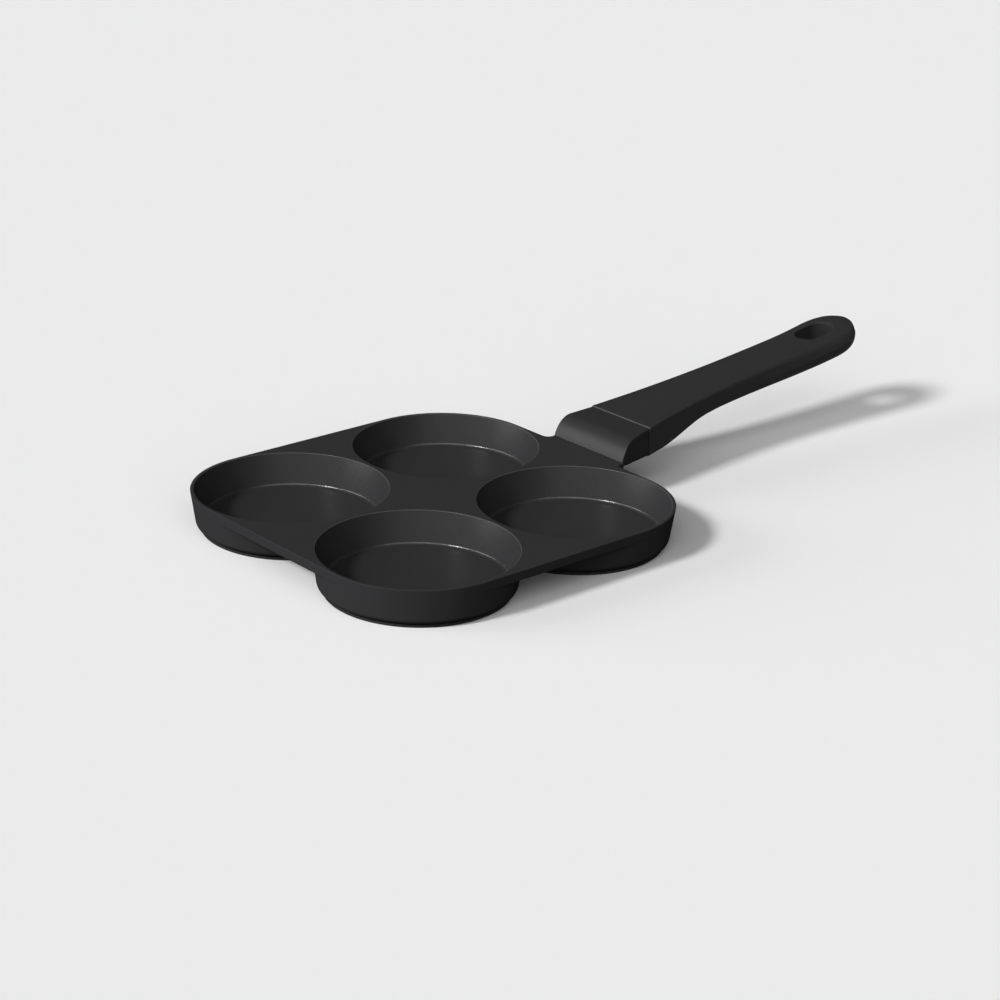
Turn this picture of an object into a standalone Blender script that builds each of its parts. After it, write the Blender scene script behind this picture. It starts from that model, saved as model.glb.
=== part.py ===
"""Hamburger pan: one cast plate with four shallow cups, a metal ferrule and a moulded grip.

The pan is laid out in its own frame: the plate's centre is x = y = 0, the plate's top
face is z = 0 and the handle points along +X. An empty then lifts and shifts that frame,
so that the finished pan stands on z = 0 with its box centred over the world origin.
"""
import math

import bmesh
import bpy
from mathutils import Matrix, Vector

# Fits, fineness and how far cutters run past a face
clearance = 0.0003
nudge = 0.00003
overrun = 0.004
round_steps = 48
hardware_steps = 24

# Turned foot under each cup, from which the cup is laid out
foot_radius = 0.0481
foot_height = 0.0016
foot_chamfer = 0.0004
foot_land_width = 0.0043
foot_groove_height = 0.0005
foot_groove_depth = 0.0015

# Cups and plate
cup_wall_overhang = 0.0031
cup_wall_lean = 0.0024
cup_wall_merge = 0.0012
cup_wall_height = 0.0201
wall_edge_rounding = 0.004
rim_width = 0.002
cup_inner_lean = 0.0039
cup_depth = 0.0177
cup_floor_fillet = 0.0018
mouth_rounding = 0.0004
plate_thickness = 0.0035
plate_edge_height = 0.0055
plate_lip_width = 0.0025
plate_edge_rounding = 0.0004

# Induction plate set into each foot
induction_thickness = 0.0008
induction_setback = 0.0003
induction_hole_radius = 0.0024
induction_ring_radii = (0.0165, 0.0325)
induction_ring_counts = (6, 12)

# Handle lug of the casting
boss_half_width = 0.0283
boss_reach = 0.0057
boss_fillet = 0.0035
tongue_half_width = 0.015
tongue_thickness = 0.006
tongue_headroom = 0.0004
tongue_reach = 0.0225
neck_inset = 0.0019
neck_knee_reach = 0.0052
neck_knee_height = 0.0074
neck_top_reach = 0.0112
neck_low_reach = 0.0073

# Ferrule
ferrule_length = 0.0244
ferrule_front_half_width = 0.0281
ferrule_rear_half_width = 0.0232
ferrule_wall = 0.002
ferrule_floor_thickness = 0.0018
ferrule_floor_drop = 0.0026
ferrule_floor_start = 0.006
ferrule_lip_overlap = 0.0012
ferrule_foot_setback = 0.0004
ferrule_front_lean = 0.25
ferrule_front_pull = 0.0062
ferrule_crest_distance = 0.0105
ferrule_crest_pull = 0.005
ferrule_rear_top = 0.0137
ferrule_side_rounding = 0.0006
ferrule_rear_rounding = 0.0002
ferrule_under_rounding = 0.002

# Grip
grip_length = 0.1834
grip_rise = 0.127
grip_bow = 0.0029
grip_flick = 0.0034
grip_flick_length = 0.053
grip_proud_top = 0.0004
grip_proud_side = 0.0005
grip_root_taper = 0.16
grip_waist_distance = 0.105
grip_waist_half_width = 0.0156
grip_end_half_width = 0.0173
grip_nose_length = 0.0267
grip_nose_power = 3.0
grip_root_depth = 0.0173
grip_root_hold = 0.0105
grip_neck_distance = 0.052
grip_neck_depth = 0.0124
grip_palm_distance = 0.127
grip_palm_depth = 0.0144
grip_end_depth = 0.0146
grip_root_under = 0.002
grip_neck_facet = 0.0077
grip_end_facet = 0.0038
grip_end_lean = 0.003
grip_crown = 0.0023
grip_root_edge = 0.0006
grip_end_edge = 0.002
spigot_length = 0.006

# How the grip's forms change along it, as shares and powers
crown_power = 0.7
end_swell_power = 1.7
root_squareness = 6.0
end_squareness = 2.8
nose_width_share = 0.12
nose_depth_share = 0.55

# Hanging hole
hang_hole_tip_distance = 0.0264
hang_hole_length = 0.025
hang_hole_width = 0.0165
hang_hole_chamfer = 0.0008

# Handle screws, washers and threaded inserts
screw_spacing = 0.016
screw_distance = 0.013
screw_radius = 0.0025
screw_head_radius = 0.0043
screw_head_height = 0.0022
screw_socket_radius = 0.0016
screw_socket_depth = 0.0013
screw_tip_short = 0.001
lock_washer_radius = 0.0042
lock_washer_thickness = 0.001
lock_washer_gap = 0.0009
plain_washer_radius = 0.0048
plain_washer_thickness = 0.0008
insert_radius = 0.0036
insert_inset = 0.0003
seat_wall = 0.0019

# Places worked out from the sizes above
foot_groove_radius = foot_radius - foot_groove_depth
induction_radius = foot_radius - foot_land_width - clearance
corner_radius = foot_radius + cup_wall_overhang + cup_wall_lean
cup_mouth_radius = corner_radius - rim_width
cup_floor_radius = cup_mouth_radius - cup_inner_lean
half_pitch = corner_radius - cup_wall_merge / 2
plate_half = half_pitch + corner_radius
wall_slope = cup_wall_lean / (cup_wall_height - wall_edge_rounding)
foot_top = cup_wall_height + foot_groove_height
pan_height = foot_top + foot_height
induction_recess = induction_thickness + clearance + induction_setback
boss_end = plate_half + boss_reach
ferrule_front = boss_end - ferrule_lip_overlap
seam_x = ferrule_front + ferrule_length
grip_start = seam_x + clearance
grip_tip = grip_start + grip_length
hang_hole_distance = grip_length - hang_hole_tip_distance
rise_angle = math.atan(grip_rise)
tongue_cover = grip_proud_top + ferrule_wall + tongue_headroom
root_top = ferrule_rear_top + grip_proud_top
screw_hole_radius = screw_radius + clearance
cup_names = {
    "front": (-half_pitch, -half_pitch),
    "left": (-half_pitch, half_pitch),
    "right": (half_pitch, -half_pitch),
    "back": (half_pitch, half_pitch),
}
screw_names = {
    "left": screw_spacing / 2,
    "right": -screw_spacing / 2,
}


# Scene helpers
def clear_scene():
    for item in list(bpy.data.objects):
        bpy.data.objects.remove(item)


def new_collection(name):
    group = bpy.data.collections.new(name)
    bpy.context.scene.collection.children.link(group)
    return group


def new_material(name, color, roughness, metallic):
    material = bpy.data.materials.new(name)
    material.use_nodes = True
    shader = material.node_tree.nodes["Principled BSDF"]
    shader.inputs["Base Color"].default_value = (*color, 1.0)
    shader.inputs["Roughness"].default_value = roughness
    shader.inputs["Metallic"].default_value = metallic
    material.diffuse_color = (*color, 1.0)
    return material


def place(name, mesh, group, parent):
    item = bpy.data.objects.new(name, mesh)
    group.objects.link(item)
    item.parent = parent
    return item


def as_tool(item):
    """Marks a shape that only cuts or joins another."""
    item.hide_render = True
    item.display_type = "WIRE"
    return item


# Shape helpers
def turned_mesh(name, profile):
    """A profile in the XZ plane, run down its outer side, ready for a Screw modifier."""
    bm = bmesh.new()
    points = [bm.verts.new((radius, 0.0, height)) for radius, height in profile]
    for first, second in zip(points, points[1:]):
        bm.edges.new((first, second))
    mesh = bpy.data.meshes.new(name)
    bm.to_mesh(mesh)
    bm.free()
    return mesh


def add_screw(item, steps):
    turn = item.modifiers.new("turn", "SCREW")
    turn.axis = "Z"
    turn.steps = steps
    turn.render_steps = steps
    turn.use_merge_vertices = True
    turn.merge_threshold = 0.00001


def turned(name, profile, steps, group, parent):
    item = place(name, turned_mesh(name, profile), group, parent)
    add_screw(item, steps)
    return item


def arc(center, radius, start, end, steps):
    """Points along a circular arc; the angles are in degrees."""
    points = []
    for step in range(steps + 1):
        angle = math.radians(start + (end - start) * step / steps)
        points.append((center[0] + radius * math.cos(angle), center[1] + radius * math.sin(angle)))
    return points


def prism_mesh(name, outline, half_thickness):
    """A flat outline drawn as a filled 2D curve, thickened and turned into a closed mesh."""
    curve = bpy.data.curves.new(name, "CURVE")
    curve.dimensions = "2D"
    curve.fill_mode = "BOTH"
    curve.extrude = half_thickness
    spline = curve.splines.new("POLY")
    spline.points.add(len(outline) - 1)
    for point, (first, second) in zip(spline.points, outline):
        point.co = (first, second, 0.0, 1.0)
    spline.use_cyclic_u = True
    drawn = bpy.data.objects.new(name, curve)
    bpy.context.scene.collection.objects.link(drawn)
    depsgraph = bpy.context.evaluated_depsgraph_get()
    mesh = bpy.data.meshes.new_from_object(drawn.evaluated_get(depsgraph))
    bpy.data.objects.remove(drawn)
    bm = bmesh.new()
    bm.from_mesh(mesh)
    bmesh.ops.remove_doubles(bm, verts=bm.verts, dist=0.00001)
    bmesh.ops.dissolve_limit(bm, angle_limit=0.001, verts=bm.verts, edges=bm.edges)
    bmesh.ops.recalc_face_normals(bm, faces=bm.faces)
    bm.to_mesh(mesh)
    bm.free()
    return mesh


def side_prism(name, outline, half_width, group, parent):
    """A side view in (x, z), given its width along Y."""
    mesh = prism_mesh(name, outline, half_width)
    mesh.transform(Matrix.Rotation(math.radians(90), 4, "X"))
    return place(name, mesh, group, parent)


def plan_prism(name, outline, low, high, group, parent):
    """A plan view in (x, y), given its height from low to high."""
    mesh = prism_mesh(name, outline, (high - low) / 2)
    mesh.transform(Matrix.Translation((0.0, 0.0, (high + low) / 2)))
    return place(name, mesh, group, parent)


def round_bar(name, radius, low, high, steps, group, parent):
    """A plain upright cylinder between two heights."""
    mesh = bpy.data.meshes.new(name)
    bm = bmesh.new()
    middle = Matrix.Translation((0.0, 0.0, (low + high) / 2))
    bmesh.ops.create_cone(bm, cap_ends=True, segments=steps, radius1=radius, radius2=radius,
                          depth=high - low, matrix=middle)
    bm.to_mesh(mesh)
    bm.free()
    return place(name, mesh, group, parent)


def add_boolean(item, tool, operation):
    step = item.modifiers.new(tool.name, "BOOLEAN")
    step.operation = operation
    step.solver = "EXACT"
    step.object = tool


def add_bevel(item, width, segments, degrees):
    edge = item.modifiers.new("rounded edges", "BEVEL")
    edge.width = width
    edge.segments = segments
    edge.limit_method = "ANGLE"
    edge.angle_limit = math.radians(degrees)
    edge.use_clamp_overlap = True


def settle(item, material, sharp_degrees=32):
    """Turns the modifiers into real faces, then shades the round faces smooth."""
    depsgraph = bpy.context.evaluated_depsgraph_get()
    mesh = bpy.data.meshes.new_from_object(item.evaluated_get(depsgraph))
    mesh.name = item.name
    item.modifiers.clear()
    item.data = mesh
    mesh.materials.clear()
    mesh.materials.append(material)
    mesh.shade_smooth()
    mesh.set_sharp_from_angle(angle=math.radians(sharp_degrees))


def between(start, end, share):
    """The value part of the way from start to end."""
    return start + (end - start) * share


def eased(start, end, share):
    """Moves from start to end, level at both ends."""
    share = min(max(share, 0.0), 1.0)
    return between(start, end, share * share * (3 - 2 * share))


# Casting
def corner_ring(radius, height):
    """Points of the plate's outline: an arc of each cup's corner at one height."""
    ring = []
    for x, y in cup_names.values():
        for step in range(round_steps):
            angle = 2 * math.pi * step / round_steps
            ring.append((x + radius * math.cos(angle), y + radius * math.sin(angle), height))
    return ring


def plate_block(name, top_radius, top, low_radius, low, group, parent):
    """The square plate with round corners and drafted sides, as a hull of its corner rings."""
    bm = bmesh.new()
    for point in corner_ring(top_radius, top) + corner_ring(low_radius, low):
        bm.verts.new(point)
    bmesh.ops.convex_hull(bm, input=bm.verts)
    inner = [vertex for vertex in bm.verts if not vertex.link_faces]
    bmesh.ops.delete(bm, geom=inner, context="VERTS")
    bmesh.ops.dissolve_limit(bm, angle_limit=0.001, verts=bm.verts, edges=bm.edges)
    bmesh.ops.recalc_face_normals(bm, faces=bm.faces)
    mesh = bpy.data.meshes.new(name)
    bm.to_mesh(mesh)
    bm.free()
    return place(name, mesh, group, parent)


def wall_radius(drop):
    """Outer radius of a cup's drafted wall at a depth under the plate's top."""
    return corner_radius - wall_slope * drop


def cup_outside(name, group, parent):
    """Drafted outer wall with its rounded bottom edge, groove, turned foot and recess."""
    top = plate_thickness / 2
    edge = wall_edge_rounding
    profile = [(0.0, -top), (wall_radius(top) - nudge, -top)]
    low = cup_wall_height - edge
    profile += arc((wall_radius(low) - nudge - edge, -low), edge, 0, -90, 4)
    profile += [
        (foot_groove_radius, -cup_wall_height),
        (foot_groove_radius, -foot_top),
        (foot_radius, -foot_top),
        (foot_radius, -pan_height + foot_chamfer),
        (foot_radius - foot_chamfer, -pan_height),
        (induction_radius + clearance, -pan_height),
        (induction_radius + clearance, -pan_height + induction_recess),
        (0.0, -pan_height + induction_recess),
    ]
    return as_tool(turned(name, profile, round_steps, group, parent))


def cup_inside(name, group, parent):
    """The space inside a cup: rounded mouth, drafted wall, hollow fillet and flat floor."""
    wide = cup_mouth_radius + mouth_rounding
    profile = [(0.0, overrun), (wide, overrun)]
    profile += arc((wide, -mouth_rounding), mouth_rounding, 90, 180, 2)
    fillet = cup_floor_fillet
    profile += arc((cup_floor_radius - fillet, -cup_depth + fillet), fillet, 0, -90, 4)
    profile.append((0.0, -cup_depth))
    return as_tool(turned(name, profile, round_steps, group, parent))


def boss_outline():
    """Plan view of the pad between plate and ferrule, with its two hollow fillets."""
    inside = plate_half - boss_fillet
    wing = boss_half_width + boss_fillet
    hollow = arc((plate_half + boss_fillet, -wing), boss_fillet, 180, 90, 4)
    near = [(inside, -wing)] + hollow + [(boss_end, -boss_half_width)]
    far = [(x, -y) for x, y in reversed(near)]
    return near + far


def rise_line(x):
    """Height of the straight line that the handle's insides follow, up from the seam."""
    return root_top + grip_rise * (x - grip_start)


def tongue_outline(gap):
    """Side view of the lug's neck and tongue, or of the socket that takes it with a gap."""
    across = 1 / math.cos(rise_angle)
    upper = (tongue_cover - gap) * across
    lower = (tongue_cover + tongue_thickness + gap) * across
    inside = plate_half
    foot = -plate_edge_height + clearance
    end_x = grip_start + tongue_reach
    low_x = boss_end + neck_low_reach
    top_x = boss_end + neck_top_reach
    neck_x = boss_end + neck_inset
    return [
        (inside, foot),
        (boss_end, foot),
        (low_x, rise_line(low_x) - lower),
        (end_x + gap, rise_line(end_x) - lower),
        (end_x + gap, rise_line(end_x) - upper),
        (top_x, rise_line(top_x) - upper),
        (neck_x + neck_knee_reach, neck_knee_height),
        (neck_x, 0.0),
        (neck_x, -clearance),
        (inside, -clearance),
    ]


def make_casting(parts, tools, pan):
    casting = plate_block("pan_casting", corner_radius, 0.0,
                          wall_radius(plate_edge_height), -plate_edge_height, parts, pan)
    add_bevel(casting, plate_edge_rounding, 2, 50)
    lip_radius = wall_radius(plate_edge_height) - plate_lip_width
    hollow = plate_block("plate_hollow", lip_radius - plate_edge_rounding, -plate_thickness,
                         lip_radius, -plate_edge_height - overrun, tools, pan)
    add_boolean(casting, as_tool(hollow), "DIFFERENCE")
    boss = plan_prism("handle_boss", boss_outline(), -plate_edge_height + nudge, -nudge, tools, pan)
    add_boolean(casting, as_tool(boss), "UNION")
    tongue = side_prism("handle_tongue", tongue_outline(0.0), tongue_half_width, tools, pan)
    add_boolean(casting, as_tool(tongue), "UNION")
    for side, (x, y) in cup_names.items():
        outside = cup_outside("cup_outside_" + side, tools, pan)
        outside.location = (x, y, 0.0)
        add_boolean(casting, outside, "UNION")
    for side, (x, y) in cup_names.items():
        inside = cup_inside("cup_inside_" + side, tools, pan)
        inside.location = (x, y, 0.0)
        add_boolean(casting, inside, "DIFFERENCE")
    return casting


def make_induction_plate(side, parts, tools, pan, material):
    """A thin steel disc with rings of holes, set into the foot of one cup."""
    x, y = cup_names[side]
    low = -pan_height + induction_setback
    high = low + induction_thickness
    disc = round_bar("induction_plate_" + side, induction_radius, low, high, round_steps, parts, pan)
    disc.location = (x, y, 0.0)
    spots = [(0.0, 0.0)]
    for radius, count in zip(induction_ring_radii, induction_ring_counts):
        for step in range(count):
            angle = 2 * math.pi * step / count
            spots.append((radius * math.cos(angle), radius * math.sin(angle)))
    bm = bmesh.new()
    for across, along in spots:
        middle = Matrix.Translation((across, along, (low + high) / 2))
        bmesh.ops.create_cone(bm, cap_ends=True, segments=8, radius1=induction_hole_radius,
                              radius2=induction_hole_radius,
                              depth=induction_thickness + overrun, matrix=middle)
    mesh = bpy.data.meshes.new("induction_holes_" + side)
    bm.to_mesh(mesh)
    bm.free()
    holes = as_tool(place("induction_holes_" + side, mesh, tools, pan))
    holes.location = disc.location
    add_boolean(disc, holes, "DIFFERENCE")
    settle(disc, material)


# Ferrule
def ferrule_half_width(x):
    """The ferrule narrows evenly from the pan to the grip."""
    share = (x - ferrule_front) / ferrule_length
    return between(ferrule_front_half_width, ferrule_rear_half_width, share)


def bezier_point(handles, share):
    """Place and heading on a cubic curve, given its two ends and two inner handles."""
    first, lead, trail, last = handles
    rest = 1 - share
    outer = first * rest ** 3 + last * share ** 3
    inner = lead * (3 * rest * rest * share) + trail * (3 * rest * share * share)
    turn = (trail - lead) * (2 * rest * share)
    heading = (lead - first) * rest ** 2 + turn + (last - trail) * share ** 2
    return outer + inner, heading.normalized()


def ferrule_outline(inset, rear, foot_level):
    """Side view of the hood: bulging front, round shoulder and a top that rises to the seam.

    inset moves the line inwards, rear moves its back end outwards and foot_level is where
    the front ends.
    """
    lean = Vector((ferrule_front_lean, 1.0)).normalized()
    rise = Vector((1.0, grip_rise)).normalized()
    crest_x = ferrule_front + ferrule_crest_distance
    foot = Vector((ferrule_front + ferrule_foot_setback, clearance))
    crest = Vector((crest_x, ferrule_rear_top - (seam_x - crest_x) * grip_rise))
    handles = (foot, foot + lean * ferrule_front_pull, crest - rise * ferrule_crest_pull, crest)
    steps = 8
    curve = []
    for step in range(steps + 1):
        point, heading = bezier_point(handles, step / steps)
        curve.append((point.x + heading.y * inset, point.y - heading.x * inset))
    first_x, first_z = curve[0]
    start = (first_x + (foot_level - first_z) * ferrule_front_lean, foot_level)
    last_x, last_z = curve[-1]
    top_end = (seam_x + rear, last_z + (seam_x + rear - last_x) * grip_rise)
    return [start] + [point for point in curve if point[1] > foot_level + clearance] + [top_end]


def taper_sides(item, inset):
    """Moves the two side faces of a prism onto the ferrule's tapering sides."""
    for vertex in item.data.vertices:
        width = ferrule_half_width(vertex.co.x) - inset
        vertex.co.y = math.copysign(width, vertex.co.y)


def add_hood_rounding(item, low):
    """Rounds the hood's edges: widely along its underside, finely on its sides and rear."""
    mesh = item.data
    weights = mesh.attributes.new("bevel_weight_edge", "FLOAT", "EDGE")
    for edge in mesh.edges:
        first, second = (mesh.vertices[index].co for index in edge.vertices)
        same_side = first.y * second.y > 0
        rounding = 0.0
        if min(first.x, second.x) > seam_x - clearance:
            rounding = ferrule_rear_rounding
        elif same_side and max(first.z, second.z) < low + clearance:
            rounding = ferrule_under_rounding
        elif same_side:
            rounding = ferrule_side_rounding
        weights.data[edge.index].value = rounding / ferrule_under_rounding
    bevel = item.modifiers.new("rounded edges", "BEVEL")
    bevel.width = ferrule_under_rounding
    bevel.segments = 3
    bevel.limit_method = "WEIGHT"


def make_ferrule(parts, tools, pan, material):
    low = -ferrule_floor_drop
    shell = ferrule_outline(0.0, 0.0, low) + [(seam_x, low)]
    ferrule = side_prism("handle_ferrule", shell, ferrule_front_half_width, parts, pan)
    taper_sides(ferrule, 0.0)
    add_hood_rounding(ferrule, low)
    front = ferrule_front - overrun
    floor = low + ferrule_floor_thickness
    floor_start = ferrule_front + ferrule_floor_start
    hollow = ferrule_outline(ferrule_wall, overrun, clearance)
    hollow += [
        (seam_x + overrun, floor),
        (floor_start, floor),
        (floor_start, low - overrun),
        (front, low - overrun),
        (front, clearance),
    ]
    cavity = side_prism("ferrule_cavity", hollow, ferrule_front_half_width, tools, pan)
    taper_sides(cavity, ferrule_wall)
    add_boolean(ferrule, as_tool(cavity), "DIFFERENCE")
    side_start = boss_end + clearance
    seat = [
        (front, low - overrun),
        (side_start, low - overrun),
        (side_start, clearance),
        (front, clearance),
    ]
    notch = side_prism("ferrule_boss_notch", seat, boss_half_width + overrun, tools, pan)
    add_boolean(ferrule, as_tool(notch), "DIFFERENCE")
    settle(ferrule, material)


# Grip
def grip_half_width(distance):
    """Half width of the grip's top face: tapers to the waist, then swells to the end."""
    root = ferrule_rear_half_width + grip_proud_side
    if distance < grip_waist_distance:
        share = distance / grip_waist_distance
        fall = grip_root_taper * grip_waist_distance * share * (1 - share) ** 2
        return eased(root, grip_waist_half_width, share) - fall
    share = (distance - grip_waist_distance) / (grip_length - grip_waist_distance)
    return between(grip_waist_half_width, grip_end_half_width, share ** end_swell_power)


def grip_top(distance):
    """Height of the grip's top edge: a shallow bow, then a flick up to the end."""
    flick = max(distance - grip_length + grip_flick_length, 0.0) / grip_flick_length
    bow = grip_bow * (distance / grip_length) ** 2
    return root_top + grip_rise * distance - bow + grip_flick * flick ** 2


def grip_depth(distance):
    """Depth of the grip under its top edge: deep at the root, slim at the neck, then a palm."""
    if distance < grip_neck_distance:
        share = (distance - grip_root_hold) / (grip_neck_distance - grip_root_hold)
        return eased(grip_root_depth, grip_neck_depth, share)
    if distance < grip_palm_distance:
        share = (distance - grip_neck_distance) / (grip_palm_distance - grip_neck_distance)
        return eased(grip_neck_depth, grip_palm_depth, share)
    share = (distance - grip_palm_distance) / (grip_length - grip_palm_distance)
    return eased(grip_palm_depth, grip_end_depth, share)


def grip_facet(distance):
    """Height of the flat side facet under the grip's top edge."""
    root_facet = grip_root_depth - grip_root_under
    if distance < grip_neck_distance:
        share = (distance - grip_root_hold) / (grip_neck_distance - grip_root_hold)
        return eased(root_facet, grip_neck_facet, share)
    share = (distance - grip_neck_distance) / (grip_length - grip_neck_distance)
    return eased(grip_neck_facet, grip_end_facet, share)


def crown_height(distance):
    """How far the middle of the grip's top stands over its edges."""
    return grip_crown * (distance / grip_length) ** crown_power


def grip_section(distance):
    """Closed cross section of the grip at one distance from the seam, as (y, z) points.

    From the middle of the top it runs over the crown, round the top edge, down the side
    facet, which leans outwards more and more, and round the underside, a superellipse.
    """
    share = distance / grip_length
    nose = max(distance - grip_length + grip_nose_length, 0.0) / grip_nose_length
    plan = max(math.sqrt(max(1 - nose ** grip_nose_power, 0.0)), nose_width_share)
    slim = between(nose_depth_share, 1.0, plan)
    half_width = grip_half_width(distance) * plan
    lean = grip_end_lean * share * plan
    depth = grip_depth(distance) * slim
    facet = grip_facet(distance) * slim
    edge = min(between(grip_root_edge, grip_end_edge, share) * plan, facet / 2)
    crown = crown_height(distance) * plan
    power = between(root_squareness, end_squareness, min(3 * share, 1.0))
    top = grip_top(distance)
    flat = half_width - edge
    right = []
    for step in range(4):
        y = flat * step / 4
        right.append((y, top + crown * (1 - (y / half_width) ** 2)))
    edge_lift = crown * (1 - (flat / half_width) ** 2)
    for y, z in arc((flat, -edge), edge, 90, 0, 3):
        lift = edge_lift * (1 - (y - flat) / edge)
        right.append((y - z * lean / facet, top + z + lift))
    for step in range(5):
        angle = math.radians(20 * step)
        y = (half_width + lean) * math.cos(angle) ** (2 / power)
        right.append((y, top - facet - (depth - facet) * math.sin(angle) ** (2 / power)))
    right.append((0.0, top - depth))
    left = [(-y, z) for y, z in reversed(right[1:-1])]
    return right + left


def grip_stations():
    """Distances along the grip: even up to the round nose, then closer and closer."""
    body = grip_length - grip_nose_length
    count = 20
    stations = [body * step / count for step in range(count)]
    turns = 9
    for step in range(turns + 1):
        stations.append(body + grip_nose_length * math.sin(math.radians(90 * step / turns)))
    return stations


def loft(name, rings, group, parent):
    """Joins rings of equal count into one closed skin."""
    bm = bmesh.new()
    loops = [[bm.verts.new(point) for point in ring] for ring in rings]
    for first, second in zip(loops, loops[1:]):
        for index in range(len(first)):
            after = (index + 1) % len(first)
            bm.faces.new((first[index], first[after], second[after], second[index]))
    bm.faces.new(loops[0])
    bm.faces.new(loops[-1])
    bmesh.ops.recalc_face_normals(bm, faces=bm.faces)
    mesh = bpy.data.meshes.new(name)
    bm.to_mesh(mesh)
    bm.free()
    return place(name, mesh, group, parent)


def slot_outline(length, width, grow):
    """A rounded oblong drawn about its own centre."""
    radius = width / 2 + grow
    reach = (length - width) / 2
    return arc((reach, 0.0), radius, -90, 90, 8) + arc((-reach, 0.0), radius, 90, 270, 8)


def hang_hole_tool(tools, pan):
    """A cutter for the hanging hole, flared at both rims, square to the grip's top there."""
    depth = grip_depth(hang_hole_distance)
    across = hang_hole_width / 2 / grip_half_width(hang_hole_distance)
    rim = crown_height(hang_hole_distance) * (1 - across ** 2)
    flare = overrun + hang_hole_chamfer
    levels = [
        (rim + overrun, flare),
        (rim - hang_hole_chamfer, 0.0),
        (hang_hole_chamfer - depth, 0.0),
        (-depth - overrun, flare),
    ]
    rings = []
    for height, grow in levels:
        outline = slot_outline(hang_hole_length, hang_hole_width, grow)
        rings.append([(x, y, height) for x, y in outline])
    tool = as_tool(loft("hang_hole_cutter", rings, tools, pan))
    half = hang_hole_length / 2
    climb = grip_top(hang_hole_distance + half) - grip_top(hang_hole_distance - half)
    tool.location = (grip_start + hang_hole_distance, 0.0, grip_top(hang_hole_distance))
    tool.rotation_euler = (0.0, -math.atan(climb / hang_hole_length), 0.0)
    return tool


def make_grip(parts, tools, pan, handle, material):
    rings = []
    for distance in grip_stations():
        x = grip_start + distance
        rings.append([(x, y, z) for y, z in grip_section(distance)])
    grip = loft("handle_grip", rings, parts, pan)
    inset = ferrule_wall + clearance
    tip_x = grip_start - spigot_length
    root_x = grip_start + inset
    plug_low = -ferrule_floor_drop + ferrule_floor_thickness + clearance
    plug_drop = grip_proud_top + inset / math.cos(rise_angle)
    plug = [
        (tip_x, plug_low),
        (root_x, plug_low),
        (root_x, rise_line(root_x) - plug_drop),
        (tip_x, rise_line(tip_x) - plug_drop),
    ]
    spigot = side_prism("grip_spigot", plug, ferrule_rear_half_width, tools, pan)
    taper_sides(spigot, inset)
    add_boolean(grip, as_tool(spigot), "UNION")
    socket = side_prism("tongue_socket", tongue_outline(clearance), tongue_half_width + clearance,
                        tools, pan)
    add_boolean(grip, as_tool(socket), "DIFFERENCE")
    add_boolean(grip, hang_hole_tool(tools, pan), "DIFFERENCE")
    for side, y in screw_names.items():
        bore = round_bar("screw_bore_" + side, screw_hole_radius, seat_level() - overrun,
                         -tongue_cover - tongue_thickness, hardware_steps, tools, handle)
        well = round_bar("screw_well_" + side, plain_washer_radius + clearance,
                         -grip_root_depth - overrun, seat_level(), hardware_steps, tools, handle)
        for tool in (bore, well):
            tool.location = (screw_distance, y, 0.0)
            add_boolean(grip, as_tool(tool), "DIFFERENCE")
    settle(grip, material, 38)


# Handle hardware, laid out under the grip's top line
def seat_level():
    """Level of the grip's inner floor on which the plain washers bear."""
    return -tongue_cover - tongue_thickness - clearance - seat_wall


def ring_profile(inner, outer, low, high):
    return [(inner, high), (outer, high), (outer, low), (inner, low), (inner, high)]


def make_hardware(side, y, parts, tools, handle, steel, brass):
    spot = (screw_distance, y, 0.0)
    washer_top = seat_level() - clearance
    washer_low = washer_top - plain_washer_thickness
    lock_top = washer_low - clearance
    lock_low = lock_top - lock_washer_thickness
    head_top = lock_low - clearance
    head_low = head_top - screw_head_height
    tip = -tongue_cover - screw_tip_short
    hole = screw_hole_radius

    washer = turned("plain_washer_" + side, ring_profile(hole, plain_washer_radius, washer_low,
                    washer_top), hardware_steps, parts, handle)
    washer.location = spot
    settle(washer, steel)

    lock = turned("lock_washer_" + side, ring_profile(hole, lock_washer_radius, lock_low, lock_top),
                  hardware_steps, parts, handle)
    lock.location = spot
    slit_outline = [
        (hole / 2, -lock_washer_gap / 2),
        (lock_washer_radius + overrun, -lock_washer_gap / 2),
        (lock_washer_radius + overrun, lock_washer_gap / 2),
        (hole / 2, lock_washer_gap / 2),
    ]
    slit = plan_prism("lock_slit_" + side, slit_outline, lock_low - clearance, lock_top + clearance,
                      tools, handle)
    slit.location = spot
    add_boolean(lock, as_tool(slit), "DIFFERENCE")
    settle(lock, steel)

    chamfer = screw_head_height / 4
    profile = [
        (0.0, tip),
        (screw_radius - chamfer, tip),
        (screw_radius, tip - chamfer),
        (screw_radius, head_top),
        (screw_head_radius, head_top),
        (screw_head_radius, head_low + chamfer),
        (screw_head_radius - chamfer, head_low),
        (0.0, head_low),
    ]
    screw = turned("handle_screw_" + side, profile, hardware_steps, parts, handle)
    screw.location = spot
    socket = round_bar("screw_socket_" + side, screw_socket_radius, head_low - clearance,
                       head_low + screw_socket_depth, 6, tools, handle)
    socket.location = spot
    add_boolean(screw, as_tool(socket), "DIFFERENCE")
    settle(screw, steel)

    insert_top = -tongue_cover - insert_inset
    insert_low = -tongue_cover - tongue_thickness + insert_inset
    insert = turned("threaded_insert_" + side, ring_profile(hole, insert_radius, insert_low,
                    insert_top), hardware_steps, parts, handle)
    insert.location = spot
    settle(insert, brass)


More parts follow.
